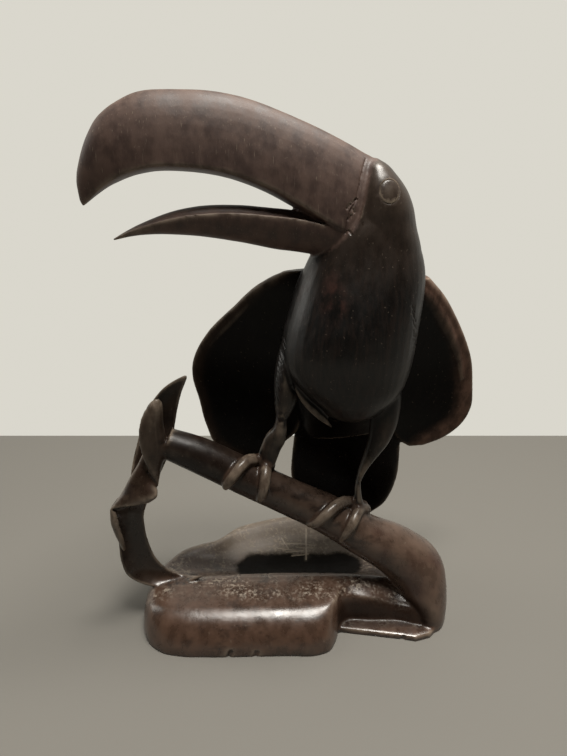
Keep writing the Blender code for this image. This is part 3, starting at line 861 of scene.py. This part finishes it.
# %% Paths on the skin
EYE = Vector((44.9, 0, 252.9)) * SHARE
EYE_RADIUS = Vector((5.3, 0, 5.8)) * SHARE
FRONT_WAY = Vector((0, 1, 0))
DOWN_WAY = Vector((0, 0, -1))
UNDER_TAIL = 0.042  # a height between the base and the tail
# The head's edge along the bill, from the crown to the throat, as x and z. It wavers where the knife
# slipped.
HEAD_EDGE = [(33.6, 269), (32.2, 265), (30.6, 259), (29.4, 253)]
HEAD_EDGE += [(28.4, 248.5), (25.6, 243.5), (24.4, 238), (23.4, 233)]
# Nicks beside the head's edge, strokes on the ridge where something scraped it, and chips in the base's
# foot.
NICKS = [[(24, 245), (25.6, 247)], [(26.9, 247.8), (28.6, 249.4)], [(24.6, 239.5), (25.9, 241.5)]]
NICKS += [[(25.2, 234), (26.3, 232.4)], [(27, 244.6), (27.8, 243.2)]]
STROKES = [[(-9, 36.5), (1, 36.9), (14, 35.2)], [(8.4, 45), (7.9, 34), (7.6, 24)]]
STROKES += [[(-6, 30.5), (6, 31.6)], [(-12, 33.5), (-2, 32.2)], [(1, 34.4), (12, 33.2)]]
STROKES += [[(-9, 40), (-4.5, 33.5)], [(-2, 27.5), (9, 28.6)]]
CHIPS = [[(-39.5, 0.2), (-38, 3.4)], [(-24.3, 0.2), (-23.2, 2.6)], [(62, 0.2), (63, 1.6)]]
# Tool marks down both sides of the breast, where the wings leave it: from and to as x and z, and how
# many.
HATCHING = [((-7, 177), (-12, 141), 13), ((61, 196), (67, 166), 12), ((67, 164), (63, 138), 10)]
HATCH = (1.6, 3.4)  # how far a stroke reaches across and down


def skin_tree(obj):
    mesh = bmesh.new()
    mesh.from_mesh(obj.data)
    tree = BVHTree.FromBMesh(mesh)
    mesh.free()
    return tree


def landed(tree, points, way, distance=FIGURE_HEIGHT * 2):
    """Where rays from that far out, travelling one way through the points, meet the skin."""
    start = -way * distance
    found = [tree.ray_cast(point - way * point.dot(way) + start, way)[0] for point in points]
    return [point for point in found if point]


def polyline(name, paths):
    """Paths as edges of one mesh object."""
    mesh = bmesh.new()
    for path in paths:
        points = [mesh.verts.new(point) for point in path]
        for near, far in zip(points, points[1:]):
            mesh.edges.new((near, far))
    return object_from(mesh, name)


def fine(path, steps=6):
    return [Vector(row[:3]) for row in smooth_through([(*point,) for point in path], steps)]


def on_plane(points, third, steps=6):
    """A smooth path from pairs: across and up, or, where there is no third number, as a plan."""
    rows = [(a, third, b) if third is not None else (a, b, 0) for a, b in points]
    return [point * SHARE for point in fine(rows, steps)]


def hatching(start, end, count):
    """Short strokes along a line, each a little different."""
    strokes = []
    for share in np.linspace(0, 1, count):
        x, z = np.array(start) + (np.array(end) - np.array(start)) * share
        lean = math.sin(share * 37) * 0.5
        strokes.append([(x + lean - HATCH[0], z), (x + lean + HATCH[0] * lean, z - HATCH[1])])
    return strokes


def from_front(tree, paths):
    return [landed(tree, on_plane(path, 0, 3), FRONT_WAY) for path in paths]


def fine_paths(tree):
    rim = [(math.cos(turn), math.sin(turn)) for turn in np.linspace(0.05, 2 * math.pi + 0.02, 60)]
    rings, edges = [], []
    for way in (FRONT_WAY, -FRONT_WAY):
        circle = [EYE + Vector((EYE_RADIUS.x * across, 0, EYE_RADIUS.z * up)) for across, up in rim]
        rings.append(landed(tree, circle, way))
        edges.append(landed(tree, on_plane(HEAD_EDGE, 0), way))
    strokes = [landed(tree, on_plane(stroke, None), DOWN_WAY, UNDER_TAIL) for stroke in STROKES]
    hatches = [stroke for line in HATCHING for stroke in hatching(*line)]
    nicks, chips, hatches = (from_front(tree, paths) for paths in (NICKS, CHIPS, hatches))
    return rings, edges, nicks, strokes, chips, hatches


rings, edges, nicks, strokes, chips, hatches = fine_paths(skin_tree(toucan))
# Each kind of cut: its paths, how far to each side it reaches and how deep it is.
cuts = {
    "eye_rings": (polyline("eye_rings", rings), 0.6 * MM, 0.3 * MM),
    "head_edges": (polyline("head_edges", edges), 0.75 * MM, 0.5 * MM),
    "nicks": (polyline("nicks", nicks), 1.0 * MM, 0.55 * MM),
    "strokes": (polyline("strokes", strokes), 0.7 * MM, 0.3 * MM),
    "chips": (polyline("chips", chips), 2.0 * MM, 1.1 * MM),
    "hatches": (polyline("hatches", hatches), 0.9 * MM, 0.35 * MM),
}
print("paths:", {name: len(path.data.vertices) for name, (path, width, depth) in cuts.items()})

# %% Splitting the skin near the paths


def refine_near(block, paths, reach, rounds):
    """Splits the block's edges near the paths, so that a narrow cut has enough points."""
    points = [vertex.co for path in paths for vertex in path.data.vertices]
    nearest = KDTree(len(points))
    for i, point in enumerate(points):
        nearest.insert(point, i)
    nearest.balance()
    low = np.min(points, axis=0) - reach
    high = np.max(points, axis=0) + reach
    mesh = bmesh.new()
    mesh.from_mesh(block.data)
    close = {vertex for vertex in mesh.verts if nearest.find(vertex.co)[2] < reach}
    for _ in range(rounds):
        chosen = [edge for edge in mesh.edges if edge.verts[0] in close and edge.verts[1] in close]
        made = bmesh.ops.subdivide_edges(mesh, edges=chosen, cuts=1, use_grid_fill=True)
        close.update(item for item in made["geom_split"] if isinstance(item, bmesh.types.BMVert))
        close.update(item for item in made["geom_inner"] if isinstance(item, bmesh.types.BMVert))
    many = [face for face in mesh.faces if len(face.verts) > 4]
    bmesh.ops.triangulate(mesh, faces=many)
    mesh.to_mesh(block.data)
    mesh.free()


refine_near(toucan, [path for path, width, depth in cuts.values()], 1.6 * MM, 2)
print("with fine places the block has", len(toucan.data.vertices), "points")

# %% Cutting along the paths


def groove_tree():
    """Presses the skin in near a path, less the further from it, and unevenly as a knife does."""
    inputs = {"Path": ("Object", None), "Width": ("Float", 0.0), "Depth": ("Float", 0.0)}
    tree, given = new_tree("groove_along_a_path", **inputs)
    path = put(tree, "GeometryNodeObjectInfo", {"Object": given["Path"]}).outputs["Geometry"]
    near = put(tree, "GeometryNodeProximity", {0: path}, target_element="EDGES").outputs["Distance"]
    share = ramp(tree, near, 0.0, given["Width"], 1.0, 0.0)
    uneven = put(tree, "ShaderNodeTexNoise", {"Scale": 260.0, "Detail": 2.0}).outputs[0]
    feed = {"Value": uneven, "From Min": 0.3, "From Max": 0.7, "To Min": 0.55, "To Max": 1.2}
    hand = put(tree, "ShaderNodeMapRange", feed).outputs[0]
    deep = calc(tree, "MULTIPLY", calc(tree, "MULTIPLY", share, hand), given["Depth"])
    return close_moved(tree, given, calc(tree, "MULTIPLY", deep, -1.0))


groove = groove_tree()
for path, width, depth in cuts.values():
    use_tree(toucan, groove, Path=path, Width=width, Depth=depth)

# %% [markdown]
# ## The hand in the surface
#
# Scraped wood is never quite even: highlights waver on it. A tree lowers the skin by a soft noise, a
# tenth of a millimetre or two over most of it. A coarser noise roughens the cuffs, where the legs come
# out of the belly and the carver left the tool's marks.

# %% Uneven surface
CUFFS = [(-9, -8, 130, 9), (36, -10, 90, 6), (-22, -12, 100, 5)]  # x, y, z and how far each reaches
NOISE_TOP = 0.75  # about the most that the noise gives, so the skin moves inwards only


def hand_tree():
    """Moves the skin in by a noise, within reach of a place."""
    inputs = {"Size": ("Float", 0.012), "Amount": ("Float", 0.0002)}
    inputs |= {"Place": ("Vector", None), "Reach": ("Float", 1.0)}
    tree, given = new_tree("hand_worked", **inputs)
    scale = calc(tree, "DIVIDE", 1.0, given["Size"])
    noise = put(tree, "ShaderNodeTexNoise", {"Scale": scale, "Detail": 2.0}).outputs[0]
    here = put(tree, "GeometryNodeInputPosition").outputs[0]
    away = put(tree, "ShaderNodeVectorMath", {0: here, 1: given["Place"]}, operation="DISTANCE")
    share = ramp(tree, away.outputs["Value"], 0.0, given["Reach"], 1.0, 0.0)
    level = calc(tree, "MULTIPLY", calc(tree, "SUBTRACT", noise, NOISE_TOP), share)
    return close_moved(tree, given, calc(tree, "MULTIPLY", level, given["Amount"]))


hand = hand_tree()
EVERYWHERE = 10.0  # a reach far past the figure
use_tree(toucan, hand, Size=0.015, Amount=0.45 * MM, Place=(0, 0, 0), Reach=EVERYWHERE)
use_tree(toucan, hand, Size=0.004, Amount=0.08 * MM, Place=(0, 0, 0), Reach=EVERYWHERE)
for x, y, z, reach in to_metres(CUFFS):
    use_tree(toucan, hand, Size=0.0022, Amount=1.6 * MM, Place=(x, y, z), Reach=reach)

# %% [markdown]
# Convex places are marked while the points are still evenly spread, because hands and dusters rub those:
# a point stands out when it lies beyond the blurred skin around it.

# %% Rubbed edges
RUB_REACH = 2.6 * MM


def rub_tree():
    """Stores how far the skin stands out of its surroundings, in millimetres."""
    tree, given = new_tree("mark_rubbed_edges", Rounds=("Int", 12))
    here = put(tree, "GeometryNodeInputPosition").outputs[0]
    feed = {"Value": here, "Iterations": given["Rounds"]}
    blurred = put(tree, "GeometryNodeBlurAttribute", feed, data_type="FLOAT_VECTOR").outputs[0]
    proud = put(tree, "ShaderNodeVectorMath", {0: here, 1: blurred}, operation="SUBTRACT").outputs[0]
    normal = put(tree, "GeometryNodeInputNormal").outputs[0]
    height = put(tree, "ShaderNodeVectorMath", {0: proud, 1: normal}, operation="DOT_PRODUCT")
    share = calc(tree, "MULTIPLY", height.outputs["Value"], 1000.0)
    return close_marked(tree, given, "rubbed", share)


use_tree(toucan, rub_tree(), Rounds=max(1, round((RUB_REACH / FUSE_CELL) ** 2)))
toucan = settle(toucan)

# %% [markdown]
# ## Flat underside, and a mesh of sensible size
#
# The block is cut flat where it meets the table. It then has far more points than its smooth places
# need, so Decimate joins those that lie nearly flat and leaves the fine cuts alone. Last, the figure is
# set inside the solid's box.

# %% Underside and size
TRIANGLES = 186_000


def cut_flat(block):
    mesh = bmesh.new()
    mesh.from_mesh(block.data)
    everything = mesh.verts[:] + mesh.edges[:] + mesh.faces[:]
    bmesh.ops.bisect_plane(mesh, geom=everything, plane_co=(0, 0, 0), plane_no=(0, 0, -1), clear_outer=True)
    rim = [edge for edge in mesh.edges if edge.is_boundary]
    bmesh.ops.triangle_fill(mesh, edges=rim, use_beauty=True, normal=(0, 0, -1))
    bmesh.ops.triangulate(mesh, faces=mesh.faces[:])
    bmesh.ops.recalc_face_normals(mesh, faces=mesh.faces[:])
    mesh.to_mesh(block.data)
    mesh.free()


def thinned(block, triangles):
    thin = block.modifiers.new("thin", "DECIMATE")
    thin.ratio = min(1.0, triangles / len(block.data.polygons))
    return settle(block)


def set_inside(block):
    """Scales the figure by the hair that its box needs, and lays its underside on the table."""
    count = len(block.data.vertices)
    points = np.empty(count * 3)
    block.data.vertices.foreach_get("co", points)
    points = points.reshape(count, 3)
    room = np.array([*low_corner, *high_corner])
    reach = np.concatenate([points.min(axis=0), points.max(axis=0)])
    shares = [want / got for want, got in zip(room, reach) if abs(got) > MM]
    points *= min(1.0, min(shares))
    points[points[:, 2] < 0.05 * MM, 2] = 0
    block.data.vertices.foreach_set("co", points.ravel())
    block.data.update()
    return min(shares)


cut_flat(toucan)
print("before thinning:", len(toucan.data.polygons), "triangles")
toucan = thinned(toucan, TRIANGLES)
print("after thinning:", len(toucan.data.polygons), "triangles")
print("set in its box by", round(set_inside(toucan), 5))

# %% [markdown]
# ## Where each finish goes
#
# One material covers the whole carving, and attributes on the skin tell it where it is. Each point is
# marked by its distance to a form or to a line, so the bill's brown stops at the head's edge by itself.

# %% Marks on the skin


def mark_tree(element):
    """Stores how near a form's faces or a path's edges are: 1 at them, falling to 0."""
    inputs = {"Form": ("Object", None), "Mark": ("String", "")}
    inputs |= {"On": ("Float", 0.0), "Off": ("Float", 0.0)}
    tree, given = new_tree("mark_near_" + element.lower(), **inputs)
    form = put(tree, "GeometryNodeObjectInfo", {"Object": given["Form"]}).outputs["Geometry"]
    near = put(tree, "GeometryNodeProximity", {0: form}, target_element=element).outputs["Distance"]
    share = ramp(tree, near, given["On"], given["Off"], 1.0, 0.0)
    return close_marked(tree, given, given["Mark"], share)


near_form = mark_tree("FACES")
MARKS = [("bill", 0.9 * MM, 1.7 * MM), ("feathers", 0.6 * MM, 3 * MM), ("branch", 0.6 * MM, 3 * MM)]
MARKS += [("leaf", 0.6 * MM, 4 * MM), ("base", 0.6 * MM, 5 * MM), ("toes", 0.5 * MM, 1.5 * MM)]
for name, on, off in MARKS:
    use_tree(toucan, near_form, Form=forms[name], Mark=name, On=on, Off=off)

rim_lines = [[Vector(row[3:6]) * SHARE for row in wing] for wing in (LEFT_WING, RIGHT_WING)]
hollow_shadow_line = [Vector((row[0], row[6], row[7])) * SHARE for row in BASE if -40 < row[0] < 30]
notch_shade_line = [Vector((x, -26, 8)) * SHARE for x in (28, 45, 62, 74)]
lines = {
    # painted shade along the notch wall, where the light doesn't reach
    "notch": (polyline("notch", [notch_shade_line]), 5 * MM, 13 * MM),
    "rim": (polyline("rim", rim_lines), 3 * MM, 10 * MM),
    # rubbed wood on the left wing's edge, with a painted highlight over it
    "wide_rim": (polyline("wide_rim", rim_lines[:1]), 6 * MM, 15 * MM),
    # painted shadow: the bird's shadow in the base's hollow
    "hollow": (polyline("hollow", [hollow_shadow_line]), 9 * MM, 20 * MM),
    "scored": (polyline("scored", [*rings, *nicks]), 0.4 * MM, 0.75 * MM),
    "scratched": (polyline("scratched", strokes), 0.3 * MM, 0.85 * MM),
}
near_line = mark_tree("EDGES")
for name, (line, on, off) in lines.items():
    use_tree(toucan, near_line, Form=line, Mark=name, On=on, Off=off)
toucan = settle(toucan)
for helper in [*forms.values(), *(row[0] for row in [*cuts.values(), *lines.values()])]:
    bpy.data.objects.remove(helper)
print("marks:", sorted(name for name in toucan.data.attributes.keys() if not name.startswith(".")))

# %% [markdown]
# ## Dark hardwood
#
# The body is close to black with a reddish heart and a soft oiled sheen, and the wings and tail are
# painted blacker still, as painted shade. The bill is a duller brown with fine upright scratches, and
# the branch, toes, leaf and wing edges are rubbed to a warm brown. The left wing's edge is brightened
# further as a painted highlight, and the branch is painted darker at its left end for the bill's shadow
# and lighter at the root as painted light. The base is brown and glossy on its roll, dusty on its lip,
# matt and beige on the ridge, painted black in the hollow as the bird's shadow and darker in the notch as
# painted shade. All of it is mixed from noises on Object coordinates, stretched upwards because the grain
# stands upright in the block, and from the marks on the skin.

# %% Material helpers


class Finish:
    """A material under construction: short ways to read, stretch and mix."""

    def __init__(self, name):
        self.material = bpy.data.materials.new(name)
        self.material.use_nodes = True
        self.tree = self.material.node_tree
        self.shader = self.tree.nodes["Principled BSDF"]
        self.place = put(self.tree, "ShaderNodeTexCoord").outputs["Object"]
        apart = put(self.tree, "ShaderNodeSeparateXYZ", {0: self.place})
        self.across, self.depth, self.height = apart.outputs["X"], apart.outputs["Y"], apart.outputs["Z"]
        normal = put(self.tree, "ShaderNodeNewGeometry").outputs["Normal"]
        self.facing_up = put(self.tree, "ShaderNodeSeparateXYZ", {0: normal}).outputs["Z"]

    def read(self, name):
        return put(self.tree, "ShaderNodeAttribute", attribute_name=name).outputs["Fac"]

    def noise(self, size, stretch=1.0, detail=3.0, roughness=0.5):
        """A noise with features of a size in metres, stretched that many times upwards."""
        feed = {"Vector": self.place, "Scale": (1 / size, 1 / size, 1 / size / stretch)}
        scaled = put(self.tree, "ShaderNodeMapping", feed)
        feed = {"Vector": scaled.outputs[0], "Scale": 1.0, "Detail": detail, "Roughness": roughness}
        return put(self.tree, "ShaderNodeTexNoise", feed).outputs[0]

    def between(self, value, low, high, out_low=0.0, out_high=1.0):
        return ramp(self.tree, value, low, high, out_low, out_high)

    def times(self, first, second):
        return calc(self.tree, "MULTIPLY", first, second)

    def plus(self, first, second):
        return calc(self.tree, "ADD", first, second)

    def mix(self, factor, first, second):
        feed = {0: factor, 6: first, 7: second}
        return put(self.tree, "ShaderNodeMix", feed, data_type="RGBA").outputs[2]


# %% Dark hardwood
BLACK = (0.0022, 0.0016, 0.0013, 1)
DARK_BROWN = (0.0105, 0.0062, 0.0046, 1)
REDDISH = (0.038, 0.013, 0.009, 1)
HEAD_BROWN = (0.042, 0.028, 0.020, 1)
BILL_BROWN = (0.098, 0.058, 0.044, 1)
BILL_DARK = (0.050, 0.028, 0.022, 1)
BRANCH_BROWN = (0.050, 0.031, 0.022, 1)
# A rubbed edge's brown, made lighter still as a painted highlight on the wing's rolled edge.
RIM_WEAR_AND_HIGHLIGHT = (0.15, 0.086, 0.062, 1)
# The root's brown, made lighter as painted light where light falls on it.
ROOT_PAINTED_LIGHT = (0.100, 0.064, 0.046, 1)
LEAF_BROWN = (0.034, 0.021, 0.014, 1)
BASE_BROWN = (0.082, 0.045, 0.029, 1)
RIDGE_BEIGE = (0.150, 0.118, 0.084, 1)
PALE_WEAR = (0.26, 0.205, 0.155, 1)
DUST = (0.36, 0.30, 0.235, 1)


def wood_tones(wood, mottle):
    """The wood's colours form by form, some of them painted shade and painted light, as marked below."""
    grain = wood.noise(0.0018, stretch=9, detail=4)
    patches = wood.between(wood.noise(0.028, stretch=2.2), 0.54, 0.72)
    colour = wood.mix(wood.between(grain, 0.38, 0.72), BLACK, DARK_BROWN)
    colour = wood.mix(wood.times(patches, wood.between(mottle, 0.4, 0.65)), colour, REDDISH)
    high = wood.times(wood.between(wood.height, 0.19, 0.255), wood.between(mottle, 0.25, 0.6, 0.55, 1))
    colour = wood.mix(high, colour, HEAD_BROWN)
    # Painted shade: the wings and tail are mixed towards black, past the body's dark grain, for the shade
    # their faces lie in.
    colour = wood.mix(wood.times(wood.read("feathers"), 0.8), colour, BLACK)
    flecked = wood.between(mottle, 0.32, 0.66, 0.6, 1)
    colour = wood.mix(wood.times(wood.read("rim"), flecked), colour, BRANCH_BROWN)
    # The left wing's outer edge: rubbed wood, brightened further as a painted highlight where its rolled edge
    # would catch the light.
    broken = wood.times(wood.read("wide_rim"), wood.between(mottle, 0.36, 0.66, 0.35, 1))
    colour = wood.mix(broken, colour, RIM_WEAR_AND_HIGHLIGHT)
    # Painted shade and light along the branch: darker at its left end, under the bill's shadow, and lighter
    # towards the root.
    branch_shade_and_light = wood.mix(wood.between(wood.across, -0.06, 0.05), DARK_BROWN, ROOT_PAINTED_LIGHT)
    tones = {"branch": branch_shade_and_light, "leaf": LEAF_BROWN, "toes": BRANCH_BROWN, "base": BASE_BROWN}
    for name, tone in tones.items():
        colour = wood.mix(wood.times(wood.read(name), flecked), colour, tone)
    stains = wood.noise(0.013, stretch=0.5, detail=5, roughness=0.65)
    branch = wood.times(wood.read("branch"), wood.between(wood.across, 0.03, 0.07, 1, 0.2))
    old = wood.plus(branch, wood.plus(wood.read("leaf"), wood.times(wood.read("base"), 0.7)))
    colour = wood.mix(wood.times(wood.between(stains, 0.5, 0.66, 0, 0.75), old), colour, DARK_BROWN)
    reddish = wood.times(wood.plus(wood.read("branch"), wood.read("leaf")), wood.times(patches, 0.6))
    colour = wood.mix(reddish, colour, REDDISH)
    brown = wood.mix(wood.between(mottle, 0.3, 0.66), BILL_DARK, BILL_BROWN)
    return wood.mix(wood.read("bill"), colour, brown)


def wear(wood, colour, mottle):
    """Pale rubbed edges, pale cuts and the bill's fine upright scratches."""
    rubbed = wood.between(wood.read("rubbed"), 0.05, 0.4)
    worn = wood.times(rubbed, wood.between(mottle, 0.35, 0.6, 0.2, 0.6))
    scored = wood.times(wood.read("scored"), 0.85)
    scratches = wood.between(wood.noise(0.0006, stretch=22, detail=2), 0.66, 0.74)
    scratches = wood.times(scratches, wood.times(wood.read("bill"), 0.5))
    specks = wood.times(wood.between(wood.noise(0.0016, detail=1), 0.71, 0.77), 0.2)
    for share in (worn, scored, scratches, specks):
        colour = wood.mix(share, colour, PALE_WEAR)
    return colour


def base_dust_and_shade(wood, colour):
    """Beige ridge, dusty lip, painted shadow in the hollow and notch; also dust, ridge and the shadow."""
    lying = wood.times(wood.between(wood.facing_up, 0.2, 0.9), wood.read("base"))
    slope = wood.between(wood.depth, 0.012, 0.032)
    slope = wood.times(slope, wood.between(wood.depth, 0.050, 0.061, 1, 0.15))
    ridge = wood.times(wood.times(slope, wood.read("base")), 0.7)
    colour = wood.mix(ridge, colour, RIDGE_BEIGE)
    crumbs = wood.between(wood.noise(0.0022, detail=5, roughness=0.7), 0.47, 0.66)
    clouds = wood.between(wood.noise(0.02), 0.4, 0.62, 0.15, 0.8)
    dust = wood.times(lying, wood.between(wood.depth, -0.036, -0.026))
    dust = wood.times(dust, wood.times(crumbs, clouds))
    colour = wood.mix(dust, colour, DUST)
    uneven = wood.noise(0.008, stretch=0.6, detail=5, roughness=0.7)
    # Painted shadow: the base's hollow under the bird is painted near black, with a ragged edge, for the
    # shadow that falls there.
    hollow = wood.between(wood.plus(wood.read("hollow"), uneven), 0.62, 1.25)
    colour = wood.mix(wood.times(hollow, 0.96), colour, BLACK)
    colour = wood.mix(wood.times(wood.read("scratched"), 0.9), colour, DUST)
    # Painted shade: the notch wall is darkened where the overhead light doesn't reach it.
    colour = wood.mix(wood.times(wood.read("notch"), 0.8), colour, DARK_BROWN)
    return colour, dust, ridge, hollow


def roughness(wood, mottle, dust, ridge, hollow):
    """Duller on the bird than on the base, and dullest in dust, on the ridge and in the hollow."""
    dull = wood.plus(wood.times(dust, 0.4), wood.times(ridge, 0.4))
    dull = wood.plus(wood.times(wood.read("bill"), 0.19), dull)
    bird = wood.between(wood.height, 0.10, 0.125, 0, 0.08)
    dull = wood.plus(dull, wood.plus(bird, wood.times(hollow, 0.3)))
    return wood.plus(wood.between(mottle, 0.3, 0.7, 0.25, 0.35), dull)


def shine(wood, hollow):
    """How much the wood mirrors: little in the hollow and the notch, on the feathers and low down."""
    feathers = wood.between(wood.read("feathers"), 0, 1, 0.5, 0.14)
    made = wood.times(wood.between(hollow, 0, 1, 1, 0.2), feathers)
    low_body = wood.between(wood.height, 0.13, 0.18, 1, 0)
    low_body = wood.times(low_body, wood.between(wood.height, 0.08, 0.1))
    made = wood.times(made, wood.between(low_body, 0, 1, 1, 0.6))
    for name, share in (("notch", 0.3), ("base", 1.6)):
        made = wood.times(made, wood.between(wood.read(name), 0, 1, 1, share))
    return made


def dark_hardwood():
    wood = Finish("dark_hardwood")
    mottle = wood.noise(0.007, stretch=1.6, detail=4, roughness=0.6)
    colour = wear(wood, wood_tones(wood, mottle), mottle)
    colour, dust, ridge, hollow = base_dust_and_shade(wood, colour)
    relief = wood.times(wood.noise(0.0005, stretch=12, detail=2), 0.35)
    relief = wood.plus(relief, wood.noise(0.0035, stretch=1.5))
    feed = {"Height": relief, "Strength": 0.35, "Distance": 0.00025}
    sockets = {
        "Base Color": colour,
        "Roughness": roughness(wood, mottle, dust, ridge, hollow),
        "Specular IOR Level": shine(wood, hollow),
        "Normal": put(wood.tree, "ShaderNodeBump", feed).outputs[0],
    }
    for name, value in sockets.items():
        wood.tree.links.new(value, wood.shader.inputs[name])
    return wood.material


toucan.data.materials.clear()
toucan.data.materials.append(dark_hardwood())
toucan.data.polygons.foreach_set("use_smooth", [True] * len(toucan.data.polygons))
print("nodes in the wood:", len(toucan.data.materials[0].node_tree.nodes))

# %% [markdown]
# ## What the piece stands for
#
# The finished mesh rides on the figure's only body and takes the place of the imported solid.

# %% Riding on the frame
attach(toucan, "root")
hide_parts(BLOCK)

# %% [markdown]
# ## Floor, light and camera
#
# Dark polished wood shows its form by what it reflects. A large soft light hangs overhead, a little to
# the right and in front, which gives the bright band on the roll and the lit crest of the bill. The
# surroundings are pale behind the figure and dim in front, so the breast stays dark. The floor ends
# behind the figure and the plain pale tone takes over. The camera stands where the photographer's did.

# %% Floor
FLOOR_PALE = (0.152, 0.144, 0.128, 1)
FLOOR_REACH = 4.0  # to the left, right and front
FLOOR_BACK = 0.27  # how far behind the figure it ends


def pale_floor():
    plain = Finish("pale_floor")
    plain.shader.inputs["Base Color"].default_value = FLOOR_PALE
    plain.shader.inputs["Roughness"].default_value = 0.75
    mesh = bmesh.new()
    placing = Matrix.Translation((0, (FLOOR_BACK - FLOOR_REACH) / 2, 0))
    placing @= Matrix.Diagonal((FLOOR_REACH, (FLOOR_BACK + FLOOR_REACH) / 2, 1, 1))
    bmesh.ops.create_grid(mesh, x_segments=1, y_segments=1, size=1.0, matrix=placing)
    made = object_from(mesh, "pale_floor")
    made.data.materials.append(plain.material)


pale_floor()

# %% Light
LOOK_AT = Vector((0.0, 0.0, 0.16))


def soft_light(name, place, size, power, colour):
    lamp = bpy.data.lights.new(name, "AREA")
    lamp.shape = "RECTANGLE"
    lamp.size, lamp.size_y = size
    lamp.energy = power
    lamp.color = colour
    made = bpy.data.objects.new(name, lamp)
    made.location = place
    made.rotation_euler = (LOOK_AT - Vector(place)).to_track_quat("-Z", "Y").to_euler()
    bpy.context.scene.collection.objects.link(made)


soft_light("overhead", (0.22, -0.14, 1.42), (0.9, 0.32), 34.0, (1.0, 0.965, 0.90))
soft_light("left_window", (-1.3, 0.3, 0.8), (0.6, 0.9), 4.0, (1.0, 0.98, 0.92))


WALL_BRIGHTNESS = 0.70  # of the plain tone that the camera sees past the floor


def surroundings():
    """Pale behind and above, dim in front, and a plain pale tone wherever the camera sees past the floor."""
    world = bpy.data.worlds.new("surroundings")
    world.use_nodes = True
    tree = world.node_tree
    backdrop = tree.nodes["Background"]
    ways = put(tree, "ShaderNodeSeparateXYZ", {0: put(tree, "ShaderNodeTexCoord").outputs["Generated"]})
    behind = ramp(tree, ways.outputs["Y"], -0.5, 0.8, 0.02, 0.55)
    seen = put(tree, "ShaderNodeLightPath").outputs["Is Camera Ray"]
    strength = put(tree, "ShaderNodeMix", {0: seen, 2: behind, 3: WALL_BRIGHTNESS})
    backdrop.inputs["Color"].default_value = (1.0, 0.97, 0.87, 1)
    tree.links.new(strength.outputs[0], backdrop.inputs["Strength"])
    bpy.context.scene.world = world


surroundings()

# %% Camera
PICTURE_WIDTH = 567  # in pixels, as the focal length below
FOCAL_PIXELS = 569
SENSOR = 36.0  # millimetres
CAMERA_PLACE = Vector((-0.008, -0.315, 0.247))
CAMERA_PITCH = math.radians(17.1)  # it looks down by this much

lens = bpy.data.cameras.new("camera")
lens.sensor_fit = "HORIZONTAL"
lens.sensor_width = SENSOR
lens.lens = FOCAL_PIXELS * SENSOR / PICTURE_WIDTH
lens.clip_start = 0.01
camera = bpy.data.objects.new("camera", lens)
camera.location = CAMERA_PLACE
camera.rotation_euler = (math.pi / 2 - CAMERA_PITCH, 0, 0)
bpy.context.scene.collection.objects.link(camera)
bpy.context.scene.camera = camera
bpy.context.scene.view_settings.view_transform = "Standard"
print("lens", round(lens.lens, 2), "mm")
